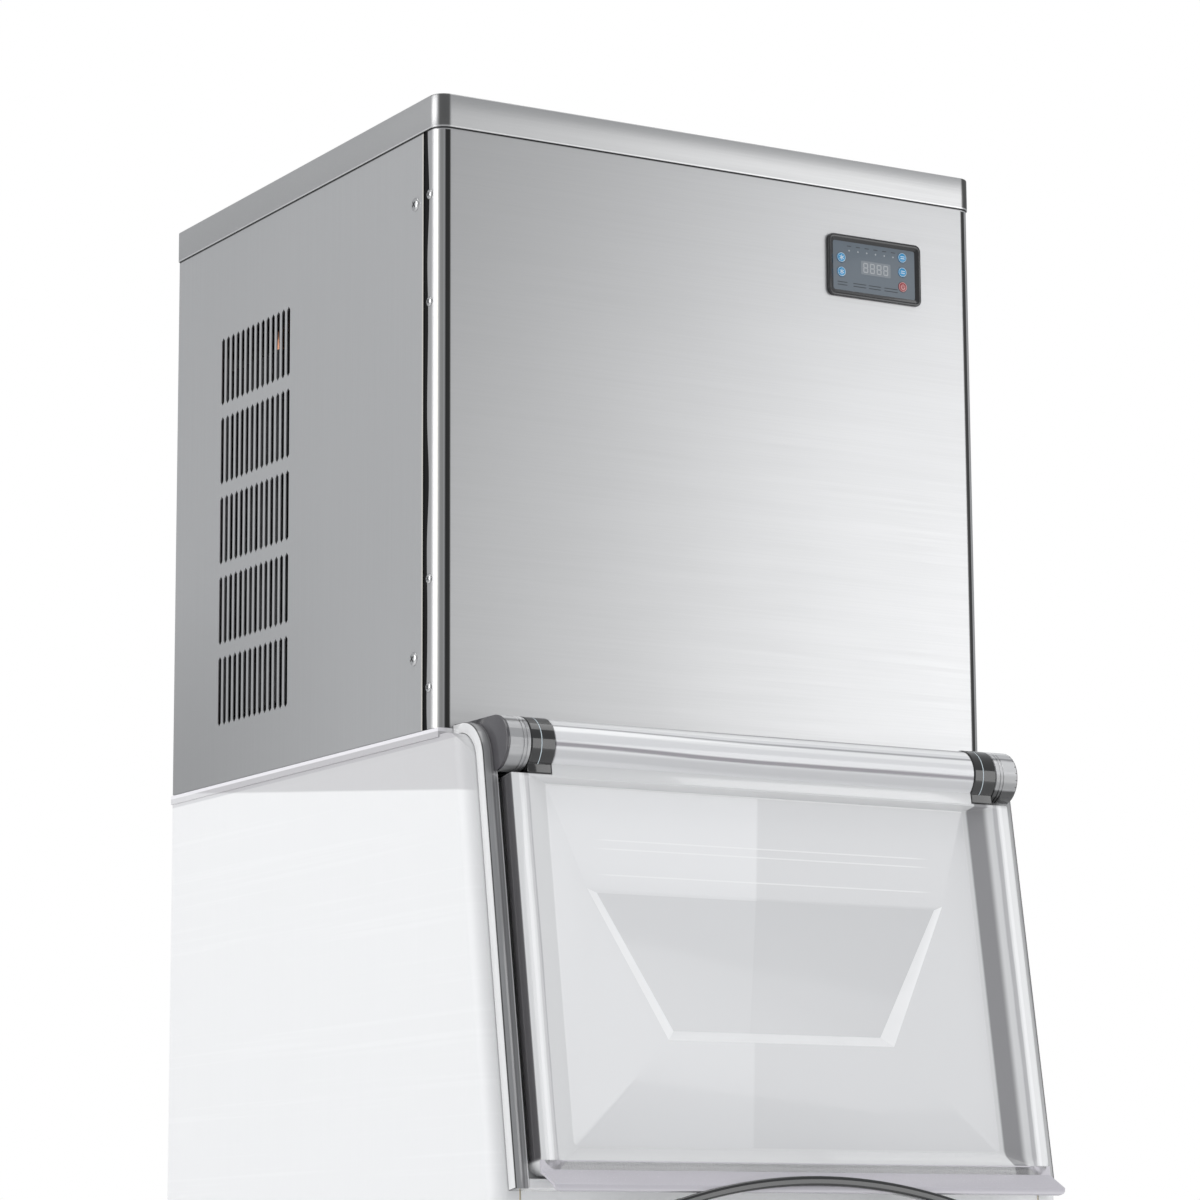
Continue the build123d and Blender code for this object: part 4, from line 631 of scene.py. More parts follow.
CAD_MATERIALS = {
    "rear_spacers": "zinc", "head_side_panel_right": "side_steel", "head_back_panel": "back_steel",
    "head_base_pan": "zinc", "head_posts": "zinc", "head_partition": "zinc",
    "control_board": "board_green", "evaporator": "copper", "evaporator_frame": "white_plastic",
    "water_spray_tube": "white_plastic", "water_curtain": "white_plastic",
    "water_trough": "white_plastic", "water_pump": "grey_plastic", "water_pump_hose": "grey_plastic",
    # The condenser coil gets the dark colour as painted shade behind the slots.
    "water_level_probe": "zinc", "water_drain_hose": "grey_plastic", "condenser_coil": "coil_shade_dark",
    "condenser_end_plates": "zinc", "fan_shroud": "black_paint", "fan_wheel": "black_paint",
    "fan_motor": "zinc", "compressor": "black_paint", "compressor_mounts": "seal_black",
    "discharge_pipe": "copper", "liquid_line": "copper", "suction_pipe": "copper",
    "water_inlet_valve": "white_plastic", "power_gland": "grey_plastic", "electric_box": "zinc",
    "bin_side_left": "bin_steel", "bin_side_right": "bin_steel", "bin_front_panel": "bin_steel",
    "bin_back_panel": "bin_steel", "bin_deck": "bin_steel", "bin_bottom_pan": "zinc",
    "bin_liner": "liner_white", "bin_insulation": "foam_yellow", "bin_drain_spout": "white_plastic",
    "bin_front_frame": "ear_grey", "bin_legs": "leg_steel", "leg_feet": "seal_black",
    "door_gasket": "gasket_grey", "door_hinge_rod": "screw_steel", "door_hinge_tube": "clear_white",
    "door_end_blocks": "gloss_black", "door_panel": "clear_white", "door_handle": "gloss_black",
    "head_top_cover": "cover_steel", "head_front_panel": "front_steel",
    "head_side_panel_left": "side_steel", "joint_gaskets": "seal_black",
    "casing_screws": "screw_steel", "control_bezel": "bezel_black",
    "control_membrane": "membrane_slate", "control_display": "display_glass",
    "key_left_upper": "key_blue", "key_left_lower": "key_blue", "key_right_upper": "key_blue",
    "key_right_middle": "key_blue", "key_power": "key_red",
}


def paint_cad_nodes():
    """Every carried-over node gets its procedural material."""
    for name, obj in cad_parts.items():
        obj.data.materials.clear()
        obj.data.materials.append(MATERIALS[CAD_MATERIALS[name]])
        soft = obj.modifiers.new("soft_edges", "BEVEL")
        soft.width = 0.0005
        soft.segments = 2
        soft.limit_method = "ANGLE"
        soft.angle_limit = math.radians(40)


# Head casing

def build_cover(settings):
    """Folded cover with a soft top edge, rounded front corners and a hem."""
    m = MATERIALS
    radius = settings.corner / MM
    soft = settings.edge / MM
    low, high = TOP - 29.4, TOP
    levels = [(SHEET + 0.3, high - SHEET), (SHEET, high - SHEET - 0.3), (SHEET, low + 0.2),
              (SHEET - 0.2, low), (0.2, low), (0.0, low + 0.25), (0.0, high - soft)]
    for n in range(1, 5):
        a = math.radians(22.5 * n)
        levels.append((soft * (1 - math.cos(a)), high - soft + soft * math.sin(a)))
    rings = [[(x, y, z) for x, y in inset_box(-HALF, HALF, HEAD_FRONT, HEAD_BACK, radius, inset, 10, 1.5)]
             for inset, z in levels]
    bm = bmesh.new()
    bridge(bm, rings, cap_start=True, cap_end=True)
    return finish_mesh("cover", bm, m["cover_steel"], "machine", "head_top_cover", 50)


def corner_path(half, front, back, radius, steps=12):
    """Plan path of the front panel from the left flange round to the right one."""
    path = [(-half, back)]
    for step in range(steps + 1):
        a = math.radians(180 + 90 * step / steps)
        path.append((-half + radius + radius * math.cos(a), front + radius + radius * math.sin(a)))
    hole = (BEZEL_X - 46.5, BEZEL_X + 46.5)
    path += [(hole[0], front), (hole[1], front)]
    for step in range(steps + 1):
        a = math.radians(270 + 90 * step / steps)
        path.append((half - radius + radius * math.cos(a), front + radius + radius * math.sin(a)))
    path.append((half, back))
    return path


def build_front(settings):
    """Front panel folded round both corners, with the opening for the key panel."""
    radius = settings.corner / MM - SHEET
    outer = corner_path(SKIN_X, SKIN_FRONT, FLANGE_END, radius)
    inner = corner_path(SKIN_X - 1, SKIN_FRONT + 1, FLANGE_END, radius - 1)
    levels = [PANEL_BOTTOM, BEZEL_Z - 24.75, BEZEL_Z + 24.75, PANEL_TOP]
    bm = bmesh.new()
    grids = []
    for path in (outer, inner):
        grids.append([[bm.verts.new((x, y, z)) for x, y in path] for z in levels])
    hole = 14
    count = len(outer)
    for grid in grids:
        for level in range(3):
            for i in range(count - 1):
                if level == 1 and i == hole:
                    continue
                bm.faces.new((grid[level][i], grid[level][i + 1], grid[level + 1][i + 1],
                              grid[level + 1][i]))
    a, b = grids
    for i in range(count - 1):
        for level in (0, 3):
            bm.faces.new((a[level][i], a[level][i + 1], b[level][i + 1], b[level][i]))
    for level in range(3):
        for i in (0, count - 1):
            bm.faces.new((a[level][i], a[level + 1][i], b[level + 1][i], b[level][i]))
    for level in (1, 2):
        bm.faces.new((a[level][hole], a[level][hole + 1], b[level][hole + 1], b[level][hole]))
    for i in (hole, hole + 1):
        bm.faces.new((a[1][i], a[2][i], b[2][i], b[1][i]))
    return finish_mesh("front_panel", bm, MATERIALS["front_steel"], "machine", "head_front_panel", 40)


def build_seals(settings):
    """Black joint seals that swell over the flange between the screws."""
    bulge = settings.bulge / MM
    bm = bmesh.new()
    z0, z1 = PANEL_BOTTOM, TOP - 29.4
    count = 120
    for side in (-1, 1):
        rings = []
        for n in range(count + 1):
            z = z0 + (z1 - z0) * n / count
            t = (z1 - z) / (z1 - z0)
            swell = bulge * (0.5 + 0.5 * math.sin(t * 26 - 1.2)) * (0.35 + 0.65 * math.sin(t * 7.0 + 0.4) ** 2)
            front = FLANGE_END - 0.25 - swell
            x = side * SKIN_X
            rings.append([(x + side * 0.12, front, z), (x + side * 0.12, front + 2.4 + swell, z),
                          (x - side * 0.5, front + 2.9 + swell, z), (x - side * 0.5, SIDE_START - 1.4, z),
                          (x + side * 0.05, SIDE_START - 1.0, z), (x + side * 0.05, SIDE_START + 0.2, z),
                          (x - side * 2.0, SIDE_START + 0.2, z), (x - side * 2.0, FLANGE_END - 0.1, z),
                          (x - side * 0.02, front, z)])
        bridge(bm, rings, cap_start=True, cap_end=True)
    return finish_mesh("joint_seals", bm, MATERIALS["seal_black"], "machine", "joint_gaskets", 40)


def node_group(name, inputs):
    """Empty geometry node group with named inputs."""
    group = bpy.data.node_groups.new(name, "GeometryNodeTree")
    group.interface.new_socket("Geometry", in_out="OUTPUT", socket_type="NodeSocketGeometry")
    for label, kind, value in inputs:
        socket = group.interface.new_socket(label, in_out="INPUT", socket_type=kind)
        if value is not None:
            socket.default_value = value
    start = group.nodes.new("NodeGroupInput")
    end = group.nodes.new("NodeGroupOutput")
    return group, start, end


def geo(group, kind, links=None, **settings):
    """A geometry node with its settings and inputs: sockets are linked, values are set."""
    made = group.nodes.new(kind)
    for name, value in settings.items():
        setattr(made, name, value)
    for name, value in (links or {}).items():
        slot = made.inputs[name]
        if isinstance(value, bpy.types.NodeSocket):
            group.links.new(value, slot)
        else:
            slot.default_value = value
    return made


def vent_group():
    """Sheet with a row and column pattern of round-ended slots, flat in X and Y."""
    group, start, end = node_group("vent_sheet", [
        ("Sheet Width", "NodeSocketFloat", 0.5), ("Sheet Height", "NodeSocketFloat", 0.54),
        ("Centre X", "NodeSocketFloat", 0.0), ("Centre Y", "NodeSocketFloat", 0.0),
        ("Columns", "NodeSocketInt", 14), ("Rows", "NodeSocketInt", 5),
        ("Pitch", "NodeSocketFloat", 0.0107), ("Row Pitch", "NodeSocketFloat", 0.0758),
        ("Slot Width", "NodeSocketFloat", 0.0064), ("Slot Length", "NodeSocketFloat", 0.065),
        ("Thickness", "NodeSocketFloat", 0.001), ("Material", "NodeSocketMaterial", None)])
    o = start.outputs
    sheet = geo(group, "GeometryNodeCurvePrimitiveQuadrilateral",
                {"Width": o["Sheet Width"], "Height": o["Sheet Height"]})
    slot = geo(group, "GeometryNodeCurvePrimitiveQuadrilateral",
               {"Width": o["Slot Width"], "Height": o["Slot Length"]})
    half = geo(group, "ShaderNodeMath", {0: o["Slot Width"], 1: 0.499}, operation="MULTIPLY")
    rounded = geo(group, "GeometryNodeFilletCurve", {"Curve": slot.outputs[0], "Radius": half.outputs[0]},
                  **({"mode": "POLY"} if hasattr(bpy.types.GeometryNodeFilletCurve, "mode") else {}))
    for name, value in (("Count", 5), ("Limit Radius", True)):
        if name in rounded.inputs:
            rounded.inputs[name].default_value = value
    spans = []
    for count, pitch in (("Columns", "Pitch"), ("Rows", "Row Pitch")):
        less = geo(group, "ShaderNodeMath", {0: o[count], 1: 1.0}, operation="SUBTRACT")
        spans.append(geo(group, "ShaderNodeMath", {0: less.outputs[0], 1: o[pitch]}, operation="MULTIPLY"))
    grid = geo(group, "GeometryNodeMeshGrid", {"Size X": spans[0].outputs[0], "Size Y": spans[1].outputs[0],
                                               "Vertices X": o["Columns"], "Vertices Y": o["Rows"]})
    centre = geo(group, "ShaderNodeCombineXYZ", {"X": o["Centre X"], "Y": o["Centre Y"]})
    moved = geo(group, "GeometryNodeTransform", {"Geometry": grid.outputs[0],
                                                 "Translation": centre.outputs[0]})
    many = geo(group, "GeometryNodeInstanceOnPoints", {"Points": moved.outputs[0],
                                                       "Instance": rounded.outputs[0]})
    real = geo(group, "GeometryNodeRealizeInstances", {0: many.outputs[0]})
    both = geo(group, "GeometryNodeJoinGeometry")
    group.links.new(sheet.outputs[0], both.inputs[0])
    group.links.new(real.outputs[0], both.inputs[0])
    filled = geo(group, "GeometryNodeFillCurve", {"Curve": both.outputs[0]})
    down = geo(group, "ShaderNodeMath", {0: o["Thickness"], 1: -1.0}, operation="MULTIPLY")
    shift = geo(group, "ShaderNodeCombineXYZ", {"Z": down.outputs[0]})
    walls = geo(group, "GeometryNodeExtrudeMesh", {"Mesh": filled.outputs[0],
                                                   "Offset": shift.outputs[0], "Individual": False})
    flipped = geo(group, "GeometryNodeFlipFaces", {0: walls.outputs[0]})
    shell = geo(group, "GeometryNodeJoinGeometry")
    group.links.new(filled.outputs[0], shell.inputs[0])
    group.links.new(flipped.outputs[0], shell.inputs[0])
    welded = geo(group, "GeometryNodeMergeByDistance", {"Geometry": shell.outputs[0], "Distance": 0.00001})
    last = geo(group, "GeometryNodeRealizeInstances", {0: welded.outputs[0]})
    painted = geo(group, "GeometryNodeSetMaterial", {"Geometry": last.outputs[0],
                                                     "Material": o["Material"]})
    group.links.new(painted.outputs[0], end.inputs[0])
    return group


def baked(name, group, values, place):
    """Runs a geometry node group once and returns the plain mesh, set in place."""
    holder = bpy.data.objects.new(name + "_maker", bpy.data.meshes.new(name + "_maker"))
    bpy.context.scene.collection.objects.link(holder)
    modifier = holder.modifiers.new("nodes", "NODES")
    modifier.node_group = group
    for item in group.interface.items_tree:
        if item.item_type == "SOCKET" and item.in_out == "INPUT" and item.name in values:
            modifier[item.identifier] = values[item.name]
    bpy.context.view_layer.update()
    shown = holder.evaluated_get(bpy.context.evaluated_depsgraph_get())
    mesh = bpy.data.meshes.new_from_object(shown)
    bpy.data.objects.remove(holder)
    mesh.transform(place)
    mesh.name = name
    return mesh


def piece_from_mesh(name, mesh, body, nodes, angle=35.0):
    """Plain mesh in metres as a piece that rides on a body and stands for nodes."""
    if not len(mesh.polygons):
        raise RuntimeError(f"{name} came out empty")
    mesh.shade_smooth()
    mesh.set_sharp_from_angle(angle=math.radians(angle))
    obj = bpy.data.objects.new(name, mesh)
    bpy.context.scene.collection.objects.link(obj)
    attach(obj, body)
    if nodes:
        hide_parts(*nodes)
    return obj


def build_vent_panel(settings):
    """Left side panel with its five fields of slots."""
    low, high = PANEL_BOTTOM * MM, PANEL_TOP * MM
    back, front = SKIN_BACK * MM, SIDE_START * MM
    first = (HEAD_FRONT + 288.2) * MM
    across = (settings.columns - 1) * settings.pitch
    top = (TOP - 125.8) * MM
    tall = (settings.rows - 1) * settings.row_pitch
    slots_y = first + across / 2
    slots_z = top - settings.length / 2 - tall / 2
    middle_y, middle_z = (front + back) / 2, (low + high) / 2
    place = Matrix(((0, 0, -1, -SKIN_X * MM), (-1, 0, 0, middle_y), (0, 1, 0, middle_z), (0, 0, 0, 1)))
    values = {"Sheet Width": back - front, "Sheet Height": high - low, "Centre X": middle_y - slots_y,
              "Centre Y": slots_z - middle_z, "Columns": settings.columns, "Rows": settings.rows,
              "Pitch": settings.pitch, "Row Pitch": settings.row_pitch, "Slot Width": settings.width,
              "Slot Length": settings.length, "Thickness": 0.001, "Material": MATERIALS["side_steel"]}
    mesh = baked("vent_panel", vent_group(), values, place)
    return piece_from_mesh("side_panel_left", mesh, "machine", ["head_side_panel_left"], 30)


# Screws

def screw_mesh(material, dark):
    """Pan head with a cross of two flat bars painted dark as the shade in its recess, its face up, radius and height
    one unit each.
    """
    bm = bmesh.new()
    lathe(bm, [(0.0, 1.0), (0.25, 1.0), (0.55, 0.93), (0.8, 0.72), (0.95, 0.4), (1.0, 0.05)],
          (0, 0, 0), (0, 0, 1), 24)
    # Painted shade: the cross recess is two dark bars.
    block(bm, -0.5, 0.5, -0.1, 0.1, 0.7, 1.01, slot=1)
    block(bm, -0.1, 0.1, -0.5, 0.5, 0.7, 1.01, slot=1)
    mesh = bpy.data.meshes.new("screw_head")
    bmesh.ops.recalc_face_normals(bm, faces=bm.faces)
    bm.to_mesh(mesh)
    bm.free()
    mesh.materials.append(material)
    mesh.materials.append(dark)
    obj = bpy.data.objects.new("screw_head", mesh)
    bpy.context.scene.collection.objects.link(obj)
    return obj


def screw_group():
    """One screw head on every point, scaled by the point's own radius and height."""
    group, start, end = node_group("screw_heads", [
        ("Points", "NodeSocketObject", None), ("Screw", "NodeSocketObject", None),
        ("Turn", "NodeSocketFloat", 0.6)])
    points = geo(group, "GeometryNodeObjectInfo", {"Object": start.outputs["Points"]})
    screw = geo(group, "GeometryNodeObjectInfo", {"Object": start.outputs["Screw"]})
    size = geo(group, "GeometryNodeInputNamedAttribute", {"Name": "size"}, data_type="FLOAT_VECTOR")
    facing = geo(group, "GeometryNodeInputNamedAttribute", {"Name": "facing"}, data_type="FLOAT_VECTOR")
    aimed = geo(group, "FunctionNodeAlignRotationToVector", {"Vector": facing.outputs[0]}, axis="Z")
    many = geo(group, "GeometryNodeInstanceOnPoints",
               {"Points": points.outputs["Geometry"], "Instance": screw.outputs["Geometry"],
                "Rotation": aimed.outputs[0], "Scale": size.outputs[0]})
    spin = geo(group, "ShaderNodeCombineXYZ", {"Z": start.outputs["Turn"]})
    turned = geo(group, "GeometryNodeRotateInstances", {"Instances": many.outputs[0],
                                                        "Rotation": spin.outputs[0], "Local Space": True})
    real = geo(group, "GeometryNodeRealizeInstances", {0: turned.outputs[0]})
    group.links.new(real.outputs[0], end.inputs[0])
    return group


def build_screws():
    """Screws of the casing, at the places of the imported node."""
    spots = []
    for side in (-1, 1):
        for y, z in ((HEAD_FRONT + 41, TOP - 90), (HEAD_FRONT + 42, HEAD_BASE + 63.5)):
            spots.append(((side * SKIN_X, y, z), (6.0, 6.0, 2.4), (side, 0, 0)))
        for z in (TOP - 87, TOP - 181, HEAD_BASE + 128, HEAD_BASE + 36):
            spots.append(((side * SKIN_X, HEAD_FRONT + 15.5, z), (4.3, 4.3, 1.8), (side, 0, 0)))
    mesh = bpy.data.meshes.new("screw_points")
    mesh.from_pydata([Vector(p) * MM for p, _, _ in spots], [], [])
    for label, index in (("size", 1), ("facing", 2)):
        data = mesh.attributes.new(label, "FLOAT_VECTOR", "POINT").data
        for n, spot in enumerate(spots):
            data[n].vector = Vector(spot[index]) * (MM if index == 1 else 1.0)
    points = bpy.data.objects.new("screw_points", mesh)
    bpy.context.scene.collection.objects.link(points)
    head = screw_mesh(MATERIALS["screw_steel"], MATERIALS["recess_shade"])
    made = baked("screws", screw_group(), {"Points": points, "Screw": head, "Turn": 0.6},
                 Matrix.Identity(4))
    for helper in (points, head):
        bpy.data.objects.remove(helper)
    return piece_from_mesh("casing_screw_heads", made, "machine", ["casing_screws"], 40)


# Key panel

def facing_front(y):
    """Places an outline in X and Z with its height towards the front."""
    return Matrix(((1, 0, 0, 0), (0, 0, -1, y), (0, 1, 0, 0), (0, 0, 0, 1)))


def build_bezel():
    """Black frame with a rounded rim and a slope down to the membrane."""
    x0, x1 = BEZEL_X - 50.5, BEZEL_X + 50.5
    z0, z1 = BEZEL_Z - 28.75, BEZEL_Z + 28.75
    front = HEAD_FRONT + SHEET - 3.5
    levels = [(0.0, SKIN_FRONT + 0.02, 6.0), (0.0, front + 0.9, 6.0), (0.3, front + 0.3, 5.7),
              (0.9, front, 5.1), (2.6, front, 3.6), (3.2, front + 0.3, 3.2), (6.0, SKIN_FRONT - 1.5, 2.0),
              (6.0, SKIN_FRONT + 12, 2.0), (4.05, SKIN_FRONT + 12, 2.0), (4.05, SKIN_FRONT + 0.05, 2.0)]
    rings = []
    for inset, y, radius in levels:
        outline = rounded_rectangle(x0 + inset, x1 - inset, z0 + inset, z1 - inset, (radius,) * 4, 6)
        rings.append([(x, y, z) for x, z in outline])
    rings.append(rings[0])
    bm = bmesh.new()
    bridge(bm, rings)
    return finish_mesh("bezel", bm, MATERIALS["bezel_black"], "machine", "control_bezel", 45)


def disc_outline(x, z, radius, count=28):
    return [(x + radius * math.cos(2 * math.pi * n / count), z + radius * math.sin(2 * math.pi * n / count))
            for n in range(count)]


def seven_segment(bm, x, z, width, height, bar, lo, hi, place, slot):
    """All seven bars of one digit."""
    half = height / 2
    bars = [(x, x + width, z + half - bar / 2, z + half + bar / 2),
            (x, x + width, z - half - bar / 2, z - half + bar / 2),
            (x, x + width, z - bar / 2, z + bar / 2)]
    for side in (x - bar / 2, x + width - bar / 2):
        bars.append((side, side + bar, z + 0.35, z + half - 0.2))
        bars.append((side, side + bar, z - half + 0.2, z - 0.35))
    for x0, x1, z0, z1 in bars:
        outline_block(bm, [(x0, z0), (x1, z0), (x1, z1), (x0, z1)], lo, hi, place, slot=slot)


def build_membrane():
    """Slate membrane with its window, digits and small marks."""
    m = MATERIALS
    bm = bmesh.new()
    place = facing_front(0.0)
    w, h = 44.5, 22.75
    face = 1.5 - SKIN_FRONT
    outline = rounded_rectangle(BEZEL_X - w, BEZEL_X + w, BEZEL_Z - h, BEZEL_Z + h, (1.6,) * 4, 4)
    plate = bmesh.new()
    loops = [outline] + [disc_outline(x, z, 4.8) for x, z in KEYS.values()]
    for height in (face, face - 1.5):
        edges = []
        for loop in loops:
            verts = [plate.verts.new((x, z, height)) for x, z in loop]
            edges += [plate.edges.new((verts[i], verts[(i + 1) % len(verts)])) for i in range(len(verts))]
        bmesh.ops.triangle_fill(plate, edges=edges, use_beauty=True)
    plate.verts.ensure_lookup_table()
    total = sum(len(loop) for loop in loops)
    base = 0
    for loop in loops:
        for i in range(len(loop)):
            j = (i + 1) % len(loop)
            plate.faces.new((plate.verts[base + i], plate.verts[base + j],
                             plate.verts[total + base + j], plate.verts[total + base + i]))
        base += len(loop)
    plate.transform(place)
    add_into(bm, plate, 0)
    x, z, dw, dh = DISPLAY
    outline = rounded_rectangle(x - dw / 2 + 0.4, x + dw / 2 - 0.4, z - dh / 2 + 0.4, z + dh / 2 - 0.4, (1.2,) * 4, 4)
    outline_block(bm, outline, face - 0.4, face + 0.08, place, slot=1)
    for n in range(4):
        seven_segment(bm, x - 13.2 + n * 7.3, z, 4.2, 8.2, 1.1, face + 0.05, face + 0.13, place, 2)
    for n in range(6):
        sx = BEZEL_X - 27 + n * 9.6
        outline_block(bm, [(sx - 2.2, BEZEL_Z + 18.4), (sx + 2.2, BEZEL_Z + 18.4), (sx + 2.2, BEZEL_Z + 19.1),
                           (sx - 2.2, BEZEL_Z + 19.1)], face - 0.2, face + 0.04, place, slot=3)
        outline_block(bm, disc_outline(sx, BEZEL_Z + 14.6, 0.8, 12), face - 0.2, face + 0.06, place, slot=2)
    for row in range(2):
        for n in range(4):
            sx = BEZEL_X - 40.0 + n * 17.0
            sz = BEZEL_Z - 15.6 - row * 2.6
            length = (10.5, 14.0, 13.0, 14.5)[n]
            outline_block(bm, [(sx, sz), (sx + length, sz), (sx + length, sz + 0.7), (sx, sz + 0.7)],
                          face - 0.2, face + 0.04, place, slot=3)
    obj = finish_mesh("membrane", bm, [m["membrane_slate"], m["display_glass"], m["segment_grey"],
                                       m["print_dark"]], "machine", ["control_membrane", "control_display"], 30)
    return obj


def snow_symbol(bm, x, z, radius, lo, hi, place, slot):
    """Three crossed bars."""
    for turn in range(3):
        a = math.pi * turn / 3 + math.pi / 6
        dx, dz = math.cos(a) * radius, math.sin(a) * radius
        nx, nz = -math.sin(a) * 0.28, math.cos(a) * 0.28
        outline_block(bm, [(x - dx - nx, z - dz - nz), (x + dx - nx, z + dz - nz),
                           (x + dx + nx, z + dz + nz), (x - dx + nx, z - dz + nz)], lo, hi, place, slot=slot)


def power_symbol(bm, x, z, lo, hi, place, slot):
    """Open ring with an upright bar."""
    count = 18
    outer, inner = [], []
    for n in range(count + 1):
        a = math.radians(90 + 38 + (360 - 76) * n / count)
        outer.append((x + 2.3 * math.cos(a), z - 0.2 + 2.3 * math.sin(a)))
        inner.append((x + 1.7 * math.cos(a), z - 0.2 + 1.7 * math.sin(a)))
    for n in range(count):
        outline_block(bm, [outer[n], outer[n + 1], inner[n + 1], inner[n]], lo, hi, place, slot=slot)
    outline_block(bm, [(x - 0.32, z), (x + 0.32, z), (x + 0.32, z + 2.5), (x - 0.32, z + 2.5)],
                  lo, hi, place, slot=slot)


def build_key(name, x, z):
    """Domed key cap with its ring and a plain symbol."""
    m = MATERIALS
    power = name == "key_power"
    bm = bmesh.new()
    front = SKIN_FRONT - 2.3
    lathe(bm, [(0.0, 3.0), (0.05, 3.6), (0.25, 3.85), (0.3, 4.0), (0.3, 4.4), (0.45, 4.5), (2.8, 4.5),
               (2.8, 5.4), (3.8, 5.4)], (x, front, z), (0, 1, 0), 36, slot=0)
    ring = bmesh.new()
    lathe(ring, [(0.0, 4.3), (0.3, 4.3)], (x, front + 0.24, z), (0, 1, 0), 36)
    add_into(bm, ring, 1)
    place = facing_front(0.0)
    lo, hi = -front - 0.05, -front + 0.05
    if power:
        power_symbol(bm, x, z, lo, hi, place, 1)
    elif x < BEZEL_X:
        snow_symbol(bm, x, z, 2.5, lo, hi, place, 2)
    else:
        for shift in (-0.9, 0.9):
            outline_block(bm, [(x - 2.2, z + shift - 0.3), (x + 2.2, z + shift - 0.3),
                               (x + 2.2, z + shift + 0.3), (x - 2.2, z + shift + 0.3)], lo, hi, place, slot=2)
    materials = [m["key_red"] if power else m["key_blue"], m["ring_pink"] if power else m["key_ring"],
                 m["symbol_white"]]
    return finish_mesh(name + "_cap", bm, materials, name + "_body", name, 40)


# Hinge and door

def band_color(s, angle_value, bands):
    """Mixes soft bands (low, high, soft, colour, share) along a value."""
    for low, high, soft, color, share in bands:
        s.mix(angle_value.band(low, high, soft) * share, color)


def tube_material():
    """Clear moulded tube: pale with painted highlight and painted shade streaks standing in for the refraction of its
    inner faces, by angle round the hinge.
    """
    s = Shader("tube_clear", (0.80, 0.80, 0.81), 0.14, 0.0, 0.8)
    x, angle, reach = round_hinge(s)
    at = angle - (1.0 - x.step(-0.2, 0.0)) * 9.0
    grain = s.noise(s.scaled(4.0, 400.0, 400.0), 3.0, 0.6)
    at = at + (grain - 0.5) * 6.0
    # Painted highlights and painted shade: bands by angle round the hinge.
    band_color(s, at, [
        (66.0, 84.0, 2.5, (0.16, 0.155, 0.165), 0.85), (46.0, 62.0, 3.0, (0.97, 0.97, 0.97), 0.9),
        (32.0, 37.0, 2.0, (0.30, 0.30, 0.31), 0.8), (20.0, 31.0, 2.5, (0.95, 0.95, 0.95), 0.8),
        (-14.0, -5.0, 2.5, (0.155, 0.14, 0.165), 0.9), (-40.0, -18.0, 6.0, (0.60, 0.60, 0.61), 0.7),
        (-66.0, -58.0, 2.0, (0.95, 0.95, 0.95), 0.8)])
    s.set("Roughness", grain * 0.1 + 0.1)
    return s.done()


def build_tube():
    """Tube of the door with soft rims at both ends."""
    r, bore, end = 22.5, 14.0, BLOCK_IN
    bm = bmesh.new()
    ring = [(-end + 0.02, bore), (-end + 0.02, r - 0.8), (-end + 0.8, r), (end - 0.8, r),
            (end - 0.02, r - 0.8), (end - 0.02, bore), (-end + 0.02, bore)]
    sides = 96
    rings = []
    for x, radius in ring:
        rings.append([(x, radius * math.cos(a), radius * math.sin(a))
                      for a in (2 * math.pi * n / sides for n in range(sides))])
    bridge(bm, rings)
    return finish_mesh("hinge_tube", bm, tube_material(), "door", "door_hinge_tube", 40, leaned=True)


def edge_turn(out, top, radius, steps=14):
    """Points of the arc that turns the leaned front back into a level top, from below."""
    z = top - radius
    y = HINGE_Y + (radius - out + (z - HINGE_Z) * math.sin(LEAN)) / math.cos(LEAN)
    points = []
    for n in range(steps + 1):
        a = math.pi - LEAN - (math.pi / 2 - LEAN) * n / steps
        points.append((y + radius * math.cos(a), z + radius * math.sin(a)))
    return points


def on_lean(out, down):
    return (HINGE_Y - down * math.sin(LEAN) - out * math.cos(LEAN),
            HINGE_Z - down * math.cos(LEAN) + out * math.sin(LEAN))


def across(side):
    """Places a (Y, Z) outline with its height along X on one side."""
    return Matrix(((0, 0, side, 0), (1, 0, 0, 0), (0, 1, 0, 0), (0, 0, 0, 1)))


